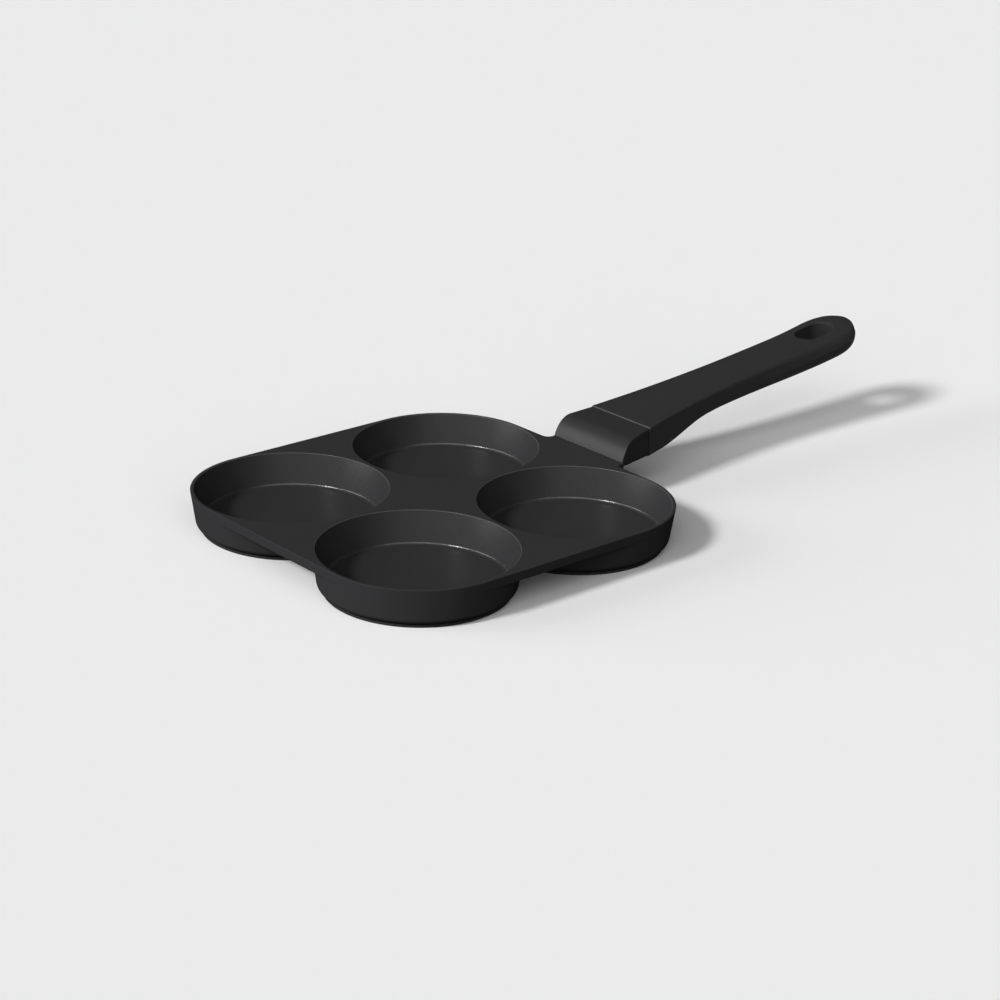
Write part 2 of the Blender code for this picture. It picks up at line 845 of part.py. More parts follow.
def drill_tongue(casting, tools, handle):
    """Holes through the tongue for the threaded inserts."""
    for side, y in screw_names.items():
        drill = round_bar("insert_drill_" + side, insert_radius + clearance,
                          -tongue_cover - tongue_thickness - overrun, -tongue_cover + overrun,
                          hardware_steps, tools, handle)
        drill.location = (screw_distance, y, 0.0)
        add_boolean(casting, as_tool(drill), "DIFFERENCE")


def main():
    clear_scene()
    parts = new_collection("hamburger_pan")
    tools = new_collection("hamburger_pan_cutters")

    coating = new_material("nonstick_coating", (0.032, 0.032, 0.034), 0.55, 0.0)
    steel = new_material("induction_steel", (0.42, 0.42, 0.43), 0.38, 1.0)
    guard = new_material("ferrule_paint", (0.038, 0.038, 0.040), 0.48, 0.0)
    moulding = new_material("grip_moulding", (0.030, 0.030, 0.030), 0.6, 0.0)
    zinc = new_material("zinc_plated_steel", (0.55, 0.56, 0.58), 0.35, 1.0)
    brass = new_material("insert_brass", (0.66, 0.48, 0.22), 0.35, 1.0)

    pan = bpy.data.objects.new("pan_frame", None)
    parts.objects.link(pan)
    pan.location = ((plate_half - grip_tip) / 2, 0.0, pan_height)
    handle = bpy.data.objects.new("handle_frame", None)
    parts.objects.link(handle)
    handle.parent = pan
    handle.location = (grip_start, 0.0, root_top)
    handle.rotation_euler = (0.0, -rise_angle, 0.0)
    bpy.context.view_layer.update()

    casting = make_casting(parts, tools, pan)
    drill_tongue(casting, tools, handle)
    settle(casting, coating)
    for side in cup_names:
        make_induction_plate(side, parts, tools, pan, steel)
    make_ferrule(parts, tools, pan, guard)
    make_grip(parts, tools, pan, handle, moulding)
    for side, y in screw_names.items():
        make_hardware(side, y, parts, tools, handle, zinc, brass)


main()
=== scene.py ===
"""Looks of the four-cup pan: fine meshes, coatings and metals, and a plain studio.

Lengths are in metres. Shapes are drawn in the pan's own frame, where the plate's centre is
x = y = 0, the plate's top face is z = 0 and the handle points along +X. pan_origin() gives
the place of that frame in the packed model.
"""

import math

import bmesh
import bpy
from bpy.props import FloatProperty, FloatVectorProperty, PointerProperty
from bpy.types import NodeSocket, Operator, Panel, PropertyGroup
from mathutils import Matrix, Vector


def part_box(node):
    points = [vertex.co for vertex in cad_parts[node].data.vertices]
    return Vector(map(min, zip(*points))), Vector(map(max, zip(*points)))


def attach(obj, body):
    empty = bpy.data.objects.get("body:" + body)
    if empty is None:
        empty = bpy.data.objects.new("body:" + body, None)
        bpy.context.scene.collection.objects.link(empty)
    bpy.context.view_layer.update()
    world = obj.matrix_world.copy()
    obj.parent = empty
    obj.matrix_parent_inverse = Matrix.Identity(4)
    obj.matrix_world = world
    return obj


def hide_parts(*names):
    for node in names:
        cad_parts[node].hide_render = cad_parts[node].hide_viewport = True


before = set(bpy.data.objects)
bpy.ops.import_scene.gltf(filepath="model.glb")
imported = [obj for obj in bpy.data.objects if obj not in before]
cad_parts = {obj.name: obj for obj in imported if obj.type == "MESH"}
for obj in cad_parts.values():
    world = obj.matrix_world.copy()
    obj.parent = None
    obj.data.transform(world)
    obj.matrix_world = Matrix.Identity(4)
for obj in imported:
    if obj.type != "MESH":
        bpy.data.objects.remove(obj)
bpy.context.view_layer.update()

bl_info = {
    "name": "Four-Cup Pan Looks",
    "version": (1, 0, 0),
    "blender": (4, 5, 0),
    "location": "3D View > Sidebar > Four-Cup Pan",
    "description": "Dresses the packed four-cup pan with fine meshes and finishes in a plain studio",
    "category": "Object",
}

# Fineness of round forms: counts of steps, and degrees round the grip's underside
ring_steps = 160
small_steps = 48
arc_steps = 10
hood_steps = 28
crown_steps = 10
body_steps = 90
nose_steps = 36
under_angles = range(0, 88, 4)

# Gap between solids that don't touch, tiny offset that keeps faces apart, reach of a cutter
clearance = 0.0003
nudge = 0.00001
overrun = 0.004

# A face lies in a level when its centre is nearer to it than this
level_reach = nudge / 4

# Least sideways part in the normal of a face on the ferrule's side
sideways = 0.8

# Rings of holes round the middle hole of the steel disc: radius and count
disc_rings = ((0.0165, 6), (0.0325, 12))

# How square the grip's underside is at its root and its palm, and how soon that changes
root_squareness = 6.0
palm_squareness = 2.8
squareness_fall = 3.0

# Least share of its width and of its depth that the grip may keep towards its tip
tip_width_share = 0.12
tip_depth_share = 0.55

# Powers by which the width swells behind the waist and the crown grows along the grip
swell_power = 1.7
crown_power = 0.7


# Properties
def length(name, default, description):
    return FloatProperty(name=name, description=description, default=default, unit="LENGTH", precision=5)


def share(name, default, description):
    return FloatProperty(name=name, description=description, default=default, precision=3)


def color(name, default, description):
    return FloatVectorProperty(name=name, description=description, default=default, subtype="COLOR",
                               size=3, min=0.0, max=1.0)


def angle(name, degrees, description):
    return FloatProperty(name=name, description=description, default=math.radians(degrees),
                         subtype="ANGLE")


def strength(name, default, description):
    return FloatProperty(name=name, description=description, default=default, min=0.0)


def millimetres(name, default, description):
    return FloatProperty(name=name, description=description, default=default, unit="CAMERA")


class CastingSizes(PropertyGroup):
    """Feet, cups, plate and handle lug of the casting."""

    foot_radius: length("Foot Radius", 0.0481, "Outer radius of the turned foot under each cup")
    foot_height: length("Foot Height", 0.0016, "Height of the foot under its groove")
    foot_chamfer: length("Foot Chamfer", 0.0004, "Chamfer along the foot's lower edge")
    foot_land: length("Foot Land", 0.0043, "Width of the ring on which the pan stands")
    foot_groove_height: length("Groove Height", 0.0005, "Height of the groove over the foot")
    foot_groove_depth: length("Groove Depth", 0.0015, "Depth of the groove inside the foot's side")
    wall_overhang: length("Wall Overhang", 0.0031, "How far the cup's wall stands out over the foot")
    wall_lean: length("Wall Lean", 0.0024, "How much wider the outer wall is at its top")
    wall_merge: length("Wall Merge", 0.0012, "How far neighbouring cups run into each other")
    wall_height: length("Wall Height", 0.0201, "Height of the cup's outer wall")
    wall_rounding: length("Wall Rounding", 0.004, "Radius of the outer wall's lower edge")
    rim_width: length("Rim Width", 0.002, "Width of the flat rim at a cup's corner")
    inner_lean: length("Inner Lean", 0.0039, "How much wider a cup is at its mouth than at its floor")
    cup_depth: length("Cup Depth", 0.0177, "Depth of a cup")
    floor_fillet: length("Floor Fillet", 0.0018, "Radius between a cup's floor and its wall")
    mouth_rounding: length("Mouth Rounding", 0.0004, "Radius of the edge around a cup's mouth")
    plate_thickness: length("Plate Thickness", 0.0035, "Thickness of the plate between the cups")
    edge_height: length("Edge Height", 0.0055, "Height of the lip around the plate")
    lip_width: length("Lip Width", 0.0025, "Width of the lip around the plate")
    edge_rounding: length("Edge Rounding", 0.0004, "Radius of the plate's edges")
    induction_thickness: length("Disc Thickness", 0.0008, "Thickness of the steel disc in a foot")
    induction_setback: length("Disc Setback", 0.0003, "How far the disc lies inside the foot")
    induction_hole: length("Disc Hole Radius", 0.0024, "Radius of the holes in the steel disc")
    boss_half_width: length("Boss Half Width", 0.0283, "Half width of the pad that carries the handle")
    boss_reach: length("Boss Reach", 0.0057, "How far the pad stands out of the plate")
    boss_fillet: length("Boss Fillet", 0.0035, "Radius of the hollow between pad and plate")
    tongue_half_width: length("Tongue Half Width", 0.015, "Half width of the tongue inside the grip")
    tongue_thickness: length("Tongue Thickness", 0.006, "Thickness of the tongue inside the grip")
    tongue_headroom: length("Tongue Headroom", 0.0004, "Space between ferrule and tongue")
    tongue_reach: length("Tongue Reach", 0.0225, "How far the tongue reaches into the grip")
    neck_inset: length("Neck Inset", 0.0019, "Start of the neck behind the pad's end")
    neck_knee_reach: length("Neck Knee Reach", 0.0052, "Length of the neck's steep part")
    neck_knee_height: length("Neck Knee Height", 0.0074, "Height of the neck's steep part")
    neck_top_reach: length("Neck Top Reach", 0.0112, "Where the tongue's upper face starts")
    neck_low_reach: length("Neck Low Reach", 0.0073, "Where the tongue's lower face starts")

    @property
    def corner_radius(self):
        return self.foot_radius + self.wall_overhang + self.wall_lean

    @property
    def mouth_radius(self):
        return self.corner_radius - self.rim_width

    @property
    def half_pitch(self):
        return self.corner_radius - self.wall_merge / 2

    @property
    def plate_half(self):
        return self.half_pitch + self.corner_radius

    @property
    def foot_top(self):
        return self.wall_height + self.foot_groove_height

    @property
    def height(self):
        return self.foot_top + self.foot_height

    @property
    def boss_end(self):
        return self.plate_half + self.boss_reach

    @property
    def recess_radius(self):
        return self.foot_radius - self.foot_land

    @property
    def wall_slope(self):
        return self.wall_lean / (self.wall_height - self.wall_rounding)

    def wall_radius(self, drop):
        """Outer radius of a cup's drafted wall at a depth under the plate's top."""
        return self.corner_radius - self.wall_slope * drop

    def cup_centers(self):
        half = self.half_pitch
        return {
            "front": (-half, -half),
            "left": (-half, half),
            "right": (half, -half),
            "back": (half, half),
        }


class HandleSizes(PropertyGroup):
    """Ferrule, grip, hanging hole and the wells of the handle's screws."""

    ferrule_length: length("Ferrule Length", 0.0244, "Length of the ferrule")
    ferrule_front: length("Ferrule Front", 0.0281, "Half width of the ferrule at the pan")
    ferrule_rear: length("Ferrule Rear", 0.0232, "Half width of the ferrule at the grip")
    ferrule_wall: length("Ferrule Wall", 0.002, "Wall of the ferrule")
    ferrule_floor: length("Ferrule Floor", 0.0018, "Thickness of the ferrule's floor")
    ferrule_drop: length("Ferrule Drop", 0.0026, "How far the ferrule reaches under the plate's top")
    ferrule_floor_start: length("Floor Start", 0.006, "Where the ferrule's floor starts")
    ferrule_overlap: length("Ferrule Overlap", 0.0012, "How far the ferrule stands on the pad")
    ferrule_setback: length("Ferrule Setback", 0.0004, "Where the hood's front line starts")
    front_lean: share("Front Lean", 0.25, "How far the hood's front leans back per unit of height")
    front_pull: length("Front Pull", 0.0062, "Straightness of the hood's front")
    crest_distance: length("Crest Distance", 0.0105, "Where the hood's shoulder ends")
    crest_pull: length("Crest Pull", 0.005, "Straightness of the hood's top by its shoulder")
    rear_top: length("Rear Top", 0.0137, "Height of the ferrule at the grip")
    side_rounding: length("Side Rounding", 0.0006, "Radius of the hood's side edges")
    rear_rounding: length("Rear Rounding", 0.0002, "Radius of the hood's rear edge")
    under_rounding: length("Under Rounding", 0.002, "Radius of the hood's lower edges")
    grip_length: length("Grip Length", 0.1834, "Length of the grip")
    rise: share("Rise", 0.127, "How much the handle climbs per unit of length")
    bow: length("Bow", 0.0029, "Sag of the grip's top line at its end")
    flick: length("Flick", 0.0034, "Lift of the grip's end over its bow")
    flick_length: length("Flick Length", 0.053, "Length of the stretch that lifts")
    proud_top: length("Proud Top", 0.0004, "How far the grip stands over the ferrule's top")
    proud_side: length("Proud Side", 0.0005, "How far the grip stands out of the ferrule's sides")
    front_rounding: length("Front Rounding", 0.0004, "Radius of the grip's edge at the seam")
    root_taper: share("Root Taper", 0.16, "How quickly the grip narrows behind the ferrule")
    waist_distance: length("Waist Distance", 0.105, "Place of the grip's waist")
    waist_half_width: length("Waist Half Width", 0.0156, "Half width of the grip's waist")
    end_half_width: length("End Half Width", 0.0173, "Half width of the grip's end")
    nose_length: length("Nose Length", 0.0267, "Length of the grip's round end")
    nose_power: share("Nose Power", 3.0, "How square the round end is")
    root_depth: length("Root Depth", 0.0173, "Depth of the grip at the ferrule")
    root_hold: length("Root Hold", 0.0105, "Length over which the root keeps its depth")
    neck_distance: length("Neck Distance", 0.052, "Place of the grip's slim neck")
    neck_depth: length("Neck Depth", 0.0124, "Depth of the slim neck")
    palm_distance: length("Palm Distance", 0.127, "Place of the fuller palm")
    palm_depth: length("Palm Depth", 0.0144, "Depth of the palm")
    end_depth: length("End Depth", 0.0146, "Depth of the grip's end")
    root_under: length("Root Under", 0.002, "Part of the root's depth under its side facet")
    neck_facet: length("Neck Facet", 0.0077, "Height of the side facet at the neck")
    end_facet: length("End Facet", 0.0038, "Height of the side facet at the end")
    end_lean: length("End Lean", 0.003, "How far the side facet leans out at the end")
    crown: length("Crown", 0.0023, "Height of the top's crown at the end")
    root_edge: length("Root Edge", 0.0006, "Radius of the top edge at the ferrule")
    end_edge: length("End Edge", 0.002, "Radius of the top edge at the end")
    spigot_length: length("Spigot Length", 0.006, "Length of the plug inside the ferrule")
    hole_tip_distance: length("Hole Distance", 0.0264, "Hanging hole's centre to the grip's tip")
    hole_length: length("Hole Length", 0.025, "Length of the hanging hole")
    hole_width: length("Hole Width", 0.0165, "Width of the hanging hole")
    hole_rounding: length("Hole Rounding", 0.0005, "Width of the hanging hole's soft rim")
    screw_spacing: length("Screw Spacing", 0.016, "Distance between the two screws")
    screw_distance: length("Screw Distance", 0.013, "Place of the screws along the grip")
    screw_hole: length("Screw Hole Radius", 0.0028, "Radius of the hole that a screw passes")
    insert_radius: length("Insert Radius", 0.0036, "Radius of the brass insert in the tongue")
    well_radius: length("Well Radius", 0.0051, "Radius of the well for screw head and washers")
    seat_wall: length("Seat Wall", 0.0019, "Wall of the grip under the tongue")

    @property
    def root_top(self):
        return self.rear_top + self.proud_top

    @property
    def slant(self):
        """Length along the rising handle for each unit of X."""
        return math.sqrt(1 + self.rise ** 2)


class FinishSettings(PropertyGroup):
    """Colours and textures of the finishes."""

    coating_color: color("Coating Colour", (0.0288, 0.0288, 0.0302), "Non-stick coating of plate and cups")
    outside_color: color("Outside Colour", (0.0305, 0.0305, 0.032), "Matt coating of the outer sides")
    # Painted highlight: a lighter colour for the rounded edges of the cups' mouths and the grip's front
    highlight_edge_color: color("Painted Highlight Colour", (0.06, 0.06, 0.062), "Edges of cups' mouths and grip's front")
    ferrule_color: color("Ferrule Colour", (0.023, 0.023, 0.024), "Satin coating of the ferrule")
    grip_color: color("Grip Colour", (0.026, 0.026, 0.026), "Moulding of the grip")
    speck_color: color("Speck Colour", (0.03, 0.03, 0.03), "Lighter specks in the grip's moulding")
    steel_color: color("Steel Colour", (0.42, 0.42, 0.43), "Brushed steel of the induction discs")
    zinc_color: color("Zinc Colour", (0.55, 0.56, 0.58), "Plating of screws and washers")
    brass_color: color("Brass Colour", (0.66, 0.48, 0.22), "Threaded inserts")
    coating_grain: length("Coating Grain", 0.0011, "Size of the coating's fine grain")
    ferrule_grain: length("Ferrule Grain", 0.0004, "Size of the ferrule coating's grain")
    grip_grain: length("Grip Grain", 0.0007, "Size of the grip's moulded grain")
    line_spacing: length("Line Spacing", 0.0003, "Spacing of the turned and brushed lines")
    patch_size: length("Patch Size", 0.03, "Size of the patches in which a finish varies")


class StageSettings(PropertyGroup):
    """Floor, lamps and camera."""

    floor_color: color("Floor Colour", (0.88, 0.88, 0.88), "Pale floor")
    floor_bounce: color("Floor Bounce", (0.14, 0.14, 0.14), "Floor as bounced light sees it")
    floor_size: length("Floor Size", 60.0, "Side of the square floor")
    sky_color: color("Sky Colour", (0.045, 0.045, 0.0465), "Even light from all round")
    lamp_elevation: angle("Lamp Elevation", 36, "Height of key, side and fill lamp")
    key_strength: strength("Key Strength", 2.5, "Strength of the key lamp")
    key_heading: angle("Key Heading", 178, "Side that the key lamp shines from")
    key_softness: angle("Key Softness", 11, "Angular size of the key lamp")
    side_strength: strength("Side Strength", 0.65, "Strength of the side lamp")
    side_heading: angle("Side Heading", 206, "Side that the side lamp shines from")
    side_softness: angle("Side Softness", 50, "Angular size of the side lamp")
    fill_strength: strength("Fill Strength", 0.95, "Strength of the fill lamp")
    fill_heading: angle("Fill Heading", 243, "Side that the fill lamp shines from")
    fill_softness: angle("Fill Softness", 60, "Angular size of the fill lamp")
    low_strength: strength("Low Strength", 1.7, "Strength of the wide low lamp")
    low_heading: angle("Low Heading", 143, "Side that the low lamp shines from")
    low_elevation: angle("Low Elevation", 13, "Height of the low lamp")
    low_softness: angle("Low Softness", 40, "Angular size of the low lamp")
    lens: millimetres("Lens", 91.31, "Focal length of the camera")
    sensor_width: millimetres("Sensor Width", 36.0, "Width of the camera's sensor")
    camera_heading: angle("Camera Heading", -41.437, "Turn of the camera round the pan")
    camera_elevation: angle("Camera Elevation", 21.515, "Height of the camera's view")
    camera_roll: angle("Camera Roll", 1.533, "Tilt of the camera round its own axis")
    camera_distance: length("Camera Distance", 1.33315, "Camera to the point that it looks at")
    camera_target: FloatVectorProperty(name="Camera Target", subtype="XYZ", unit="LENGTH", size=3,
                                       description="Point in the pan's frame that the camera looks at",
                                       default=(0.022488, -0.028388, 0.0))


def pan_settings(context):
    """Sizes of casting and handle, and the finishes."""
    scene = context.scene
    return scene.casting_sizes, scene.handle_sizes, scene.finish_settings


# Mesh helpers
def pan_origin():
    """Where the plate's centre and top face stand in the packed model."""
    low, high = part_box("pan_casting")
    return Vector((low.x + high.y, 0.0, low.z + bpy.context.scene.casting_sizes.height))


def arc(center, radius, start, end, steps=arc_steps):
    """Points along a circular arc; the angles are in degrees."""
    points = []
    for step in range(steps + 1):
        turn = math.radians(start + (end - start) * step / steps)
        points.append((center[0] + radius * math.cos(turn), center[1] + radius * math.sin(turn)))
    return points


def between(start, end, part):
    return start + (end - start) * part


def eased(start, end, part):
    """Moves from start to end, level at both ends."""
    part = min(max(part, 0.0), 1.0)
    return between(start, end, part * part * (3 - 2 * part))


def add_object(name, data):
    thing = bpy.data.objects.new(name, data)
    bpy.context.scene.collection.objects.link(thing)
    return thing


def add_mesh(name, bm):
    """Turns what was built in a bmesh into an object of the scene."""
    mesh = bpy.data.meshes.new(name)
    bm.to_mesh(mesh)
    bm.free()
    return add_object(name, mesh)


def loft(name, rings):
    """Joins rings of equal count into one closed skin with flat ends."""
    bm = bmesh.new()
    loops = [[bm.verts.new(point) for point in ring] for ring in rings]
    for first, second in zip(loops, loops[1:]):
        for index in range(len(first)):
            after = (index + 1) % len(first)
            bm.faces.new((first[index], first[after], second[after], second[index]))
    bm.faces.new(loops[0])
    bm.faces.new(loops[-1])
    bmesh.ops.recalc_face_normals(bm, faces=bm.faces)
    return add_mesh(name, bm)


def turned(name, profile, center=(0.0, 0.0), steps=ring_steps):
    """A solid turned about an upright axis, with flat round ends."""
    turns = [2 * math.pi * step / steps for step in range(steps)]
    rings = []
    for radius, height in profile:
        rings.append([(center[0] + radius * math.cos(turn), center[1] + radius * math.sin(turn), height)
                      for turn in turns])
    return loft(name, rings)


def side_prism(name, outline, half_width):
    """A side view in (x, z), given its width along Y; half_width may be a function of x."""
    width = half_width if callable(half_width) else lambda x: half_width
    return loft(name, [[(x, side * width(x), z) for x, z in outline] for side in (-1, 1)])


def boolean(piece, joins=(), cuts=()):
    """Joins a solid with others and cuts it, keeps the result as plain faces and drops the tools."""
    for operation, tools in (("UNION", joins), ("DIFFERENCE", cuts)):
        for tool in tools:
            modifier = piece.modifiers.new(tool.name, "BOOLEAN")
            modifier.operation = operation
            modifier.solver = "EXACT"
            modifier.object = tool
    depsgraph = bpy.context.evaluated_depsgraph_get()
    piece.data = bpy.data.meshes.new_from_object(piece.evaluated_get(depsgraph))
    piece.modifiers.clear()
    for tool in (*joins, *cuts):
        bpy.data.objects.remove(tool)
    bm = bmesh.new()
    bm.from_mesh(piece.data)
    bmesh.ops.remove_doubles(bm, verts=bm.verts, dist=nudge / 2)
    bmesh.ops.dissolve_degenerate(bm, edges=bm.edges, dist=nudge / 2)
    bm.to_mesh(piece.data)
    bm.free()
    return piece


def finish_piece(piece, material, nodes, sharp_degrees=30):
    """Shades a piece, gives it its material and lets it stand for its CAD nodes."""
    mesh = piece.data
    mesh.name = piece.name
    mesh.materials.clear()
    mesh.materials.append(material)
    mesh.shade_smooth()
    mesh.set_sharp_from_angle(angle=math.radians(sharp_degrees))
    even = piece.modifiers.new("even shading", "WEIGHTED_NORMAL")
    even.keep_sharp = True
    piece.location = piece.location + pan_origin()
    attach(piece, "root")
    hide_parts(*nodes)


def coat_faces(piece, material, belongs):
    """Gives the faces that pass a test a material of their own."""
    piece.data.materials.append(material)
    last = len(piece.data.materials) - 1
    for face in piece.data.polygons:
        if belongs(face):
            face.material_index = last


# Casting
def rounded_square(radius, height, half):
    """The plate's outline at one height: an arc of each cup's corner."""
    quarter = ring_steps // 4
    ring = []
    for turn, (x, y) in enumerate(((half, half), (-half, half), (-half, -half), (half, -half))):
        for px, py in arc((x, y), radius, 90 * turn, 90 * turn + 90, quarter):
            ring.append((px, py, height))
    return ring


def plate_solid(size):
    """The plate with rounded edges, drafted sides and the lip around its underside."""
    rounding = size.edge_rounding
    low_z = rounding - size.edge_height
    low = size.wall_radius(-low_z)
    inner = low - size.lip_width
    profile = arc((size.wall_radius(rounding) - rounding, -rounding), rounding, 90, 0, steps=5)
    profile += arc((low - rounding, low_z), rounding, 0, -90, steps=4)
    profile += arc((inner + rounding, low_z), rounding, 270, 180, steps=3)
    profile.append((inner - rounding, -size.plate_thickness))
    rings = [rounded_square(radius, z, size.half_pitch) for radius, z in profile]
    return loft("pan_casting_fine", rings)


def boss_solid(size):
    """The pad between plate and ferrule, hollowed towards the plate, with rounded edges.

    It lies a nudge lower than the plate's top, so that no two faces share a plane.
    """
    rounding = size.edge_rounding
    wing = size.boss_half_width + size.boss_fillet
    levels = arc((rounding, -rounding), rounding, 90, 180, steps=5)
    levels.append((0.0, -size.edge_height + rounding))
    levels += arc((rounding, rounding - size.edge_height), rounding, 180, 270, steps=4)
    rings = []
    for inset, z in levels:
        center = (size.plate_half + size.boss_fillet, -wing)
        hollow = arc(center, size.boss_fillet + inset, 180, 90)
        near = [(size.half_pitch, -wing), (size.plate_half - inset - rounding, -wing)] + hollow
        near.append((size.boss_end, inset - size.boss_half_width))
        ring = near + [(x, -y) for x, y in reversed(near)]
        rings.append([(x, y, z - nudge) for x, y in ring])
    return loft("handle_boss", rings)


def ferrule_start(size, handle):
    """Place along X where the ferrule begins."""
    return size.boss_end - handle.ferrule_overlap


def seam(size, handle):
    """Place along X where the ferrule ends."""
    return ferrule_start(size, handle) + handle.ferrule_length


def grip_start(size, handle):
    """Place along X where the grip begins."""
    return seam(size, handle) + clearance


def rise_line(size, handle, x):
    """Height of the straight line that the handle's insides follow, up from the seam."""
    return handle.root_top + handle.rise * (x - grip_start(size, handle))


def tongue_cover(size, handle):
    """Depth of the tongue's upper face under the grip's top."""
    return handle.proud_top + handle.ferrule_wall + size.tongue_headroom


def tongue_outline(size, handle, gap):
    """Side view of the lug's neck and tongue, or of the socket that takes it with a gap."""
    cover = tongue_cover(size, handle)
    upper = (cover - gap) * handle.slant
    lower = (cover + size.tongue_thickness + gap) * handle.slant
    end_x = grip_start(size, handle) + size.tongue_reach
    low_x = size.boss_end + size.neck_low_reach
    top_x = size.boss_end + size.neck_top_reach
    neck_x = size.boss_end + size.neck_inset
    inside = size.plate_half
    foot = clearance - size.edge_height
    return [
        (inside, foot),
        (size.boss_end, foot),
        (low_x, rise_line(size, handle, low_x) - lower),
        (end_x + gap, rise_line(size, handle, end_x) - lower),
        (end_x + gap, rise_line(size, handle, end_x) - upper),
        (top_x, rise_line(size, handle, top_x) - upper),
        (neck_x + size.neck_knee_reach, size.neck_knee_height),
        (neck_x, 0.0),
        (neck_x, -clearance),
        (inside, -clearance),
    ]


def cup_outside(size, center):
    """A cup's outer wall with its rounded lower edge, groove, turned foot and disc recess."""
    top = size.plate_thickness / 2
    edge = size.wall_rounding
    level = edge - size.wall_height
    draft = math.atan(size.wall_slope)
    low_center = size.wall_radius(-level) - nudge - edge / math.cos(draft)
    groove = size.foot_radius - size.foot_groove_depth
    recess = -size.height + size.induction_thickness + clearance + size.induction_setback
    under_lip = size.edge_height + size.edge_rounding
    profile = [(size.wall_radius(drop) - nudge, -drop) for drop in (top, under_lip)]
    profile += arc((low_center, level), edge, -math.degrees(draft), -90)
    profile += [
        (groove, -size.wall_height),
        (groove, -size.foot_top),
        (size.foot_radius, -size.foot_top),
        (size.foot_radius, size.foot_chamfer - size.height),
        (size.foot_radius - size.foot_chamfer, -size.height),
        (size.recess_radius, -size.height),
        (size.recess_radius, recess),
    ]
    return turned("cup_outside", profile, center)


def cup_inside(size, center):
    """The space inside a cup: rounded mouth, drafted wall, hollow fillet and flat floor."""
    rounding = size.mouth_rounding
    fillet = size.floor_fillet
    wide = size.mouth_radius + rounding
    floor = size.mouth_radius - size.inner_lean
    profile = [(wide, overrun)]
    profile += arc((wide, -rounding), rounding, 90, 180, steps=6)
    profile += arc((floor - fillet, fillet - size.cup_depth), fillet, 0, -90)
    return turned("cup_inside", profile, center)


def handle_matrix(size, handle):
    """Turns the handle's own frame, laid along its straight insides, into the pan's frame."""
    lift = Matrix.Translation((grip_start(size, handle), 0.0, handle.root_top))
    return lift @ Matrix.Rotation(-math.atan(handle.rise), 4, "Y")


def screw_bars(size, handle, name, radius, low, high):
    """An upright bar at each handle screw, between two heights of the handle's frame."""
    bars = []
    for side in (-1, 1):
        spot = (handle.screw_distance, side * handle.screw_spacing / 2)
        bar = turned(name, [(radius, high), (radius, low)], spot, small_steps)
        bar.data.transform(handle_matrix(size, handle))
        bars.append(bar)
    return bars


def cup_spread(size, place):
    """Distance of a place on the casting from the axis of its own cup."""
    return math.hypot(abs(place.x) - size.half_pitch, abs(place.y) - size.half_pitch)


def on_outside(size, place):
    """Below the top faces of plate and pad, and not inside a cup."""
    inner_wall = size.wall_radius(-place.z) - size.rim_width
    in_cup = cup_spread(size, place) < inner_wall and place.z > -size.cup_depth - clearance
    return place.z < -2 * nudge and not in_cup


def on_mouth(size, place):
    """On the rounded edge of a cup's mouth."""
    around = 0.0 < cup_spread(size, place) - size.mouth_radius < size.mouth_rounding
    return around and -size.mouth_rounding < place.z < -level_reach


def on_fillet(size, place):
    """On the hollow between a cup's floor and its wall."""
    return not on_outside(size, place) and level_reach < place.z + size.cup_depth < size.floor_fillet


class FOURCUP_OT_casting(Operator):
    """Build the coated casting with its four cups, feet, pad and tongue"""

    bl_idname = "fourcup.casting"
    bl_label = "Pan Casting"

    def execute(self, context):
        size, handle, finish = pan_settings(context)
        centers = size.cup_centers().values()
        tongue = side_prism("tongue", tongue_outline(size, handle, 0.0), size.tongue_half_width)
        cover = -tongue_cover(size, handle)
        drills = screw_bars(size, handle, "insert_drill", handle.insert_radius + clearance,
                            cover - size.tongue_thickness - overrun, cover + overrun)
        piece = boolean(
            plate_solid(size),
            joins=[boss_solid(size), tongue] + [cup_outside(size, center) for center in centers],
            cuts=[cup_inside(size, center) for center in centers] + drills,
        )
        finish_piece(piece, coating_material(finish), ["pan_casting"])
        coat_faces(piece, outside_material(finish), lambda face: on_outside(size, face.center))
        # Painted highlight: the rounded edges of the cups' mouths get the lighter colour
        coat_faces(piece, painted_highlight_material(finish), lambda face: on_mouth(size, face.center))
        coat_faces(piece, pooled_material(finish), lambda face: on_fillet(size, face.center))
        return {"FINISHED"}


class FOURCUP_OT_induction_discs(Operator):
    """Build the drilled steel disc that is set into each foot"""

    bl_idname = "fourcup.induction_discs"
    bl_label = "Induction Discs"

    def execute(self, context):
        size = context.scene.casting_sizes
        radius = size.recess_radius - clearance
        low = -size.height + size.induction_setback
        high = low + size.induction_thickness
        spots = [(0.0, 0.0)]
        for ring_radius, count in disc_rings:
            for step in range(count):
                turn = 2 * math.pi * step / count
                spots.append((ring_radius * math.cos(turn), ring_radius * math.sin(turn)))
        hole = [(size.induction_hole, high + clearance), (size.induction_hole, low - clearance)]
        disc = boolean(
            turned("induction_disc", [(radius, high), (radius, low)]),
            cuts=[turned("disc_hole", hole, spot, small_steps // 2) for spot in spots],
        )
        material = steel_material(context.scene.finish_settings)
        for side, (x, y) in size.cup_centers().items():
            piece = add_object("induction_disc_" + side, disc.data.copy())
            piece.location = (x, y, 0.0)
            finish_piece(piece, material, ["induction_plate_" + side])
        bpy.data.objects.remove(disc)
        return {"FINISHED"}


# Ferrule
def bezier_point(handles, part):
    """Place and heading on a cubic curve, given its two ends and two inner handles."""
    first, lead, trail, last = handles
    rest = 1 - part
    outer = first * rest ** 3 + last * part ** 3
    inner = lead * (3 * rest * rest * part) + trail * (3 * rest * part * part)
    turn = (trail - lead) * (2 * rest * part)
    heading = (lead - first) * rest ** 2 + turn + (last - trail) * part ** 2
    return outer + inner, heading.normalized()


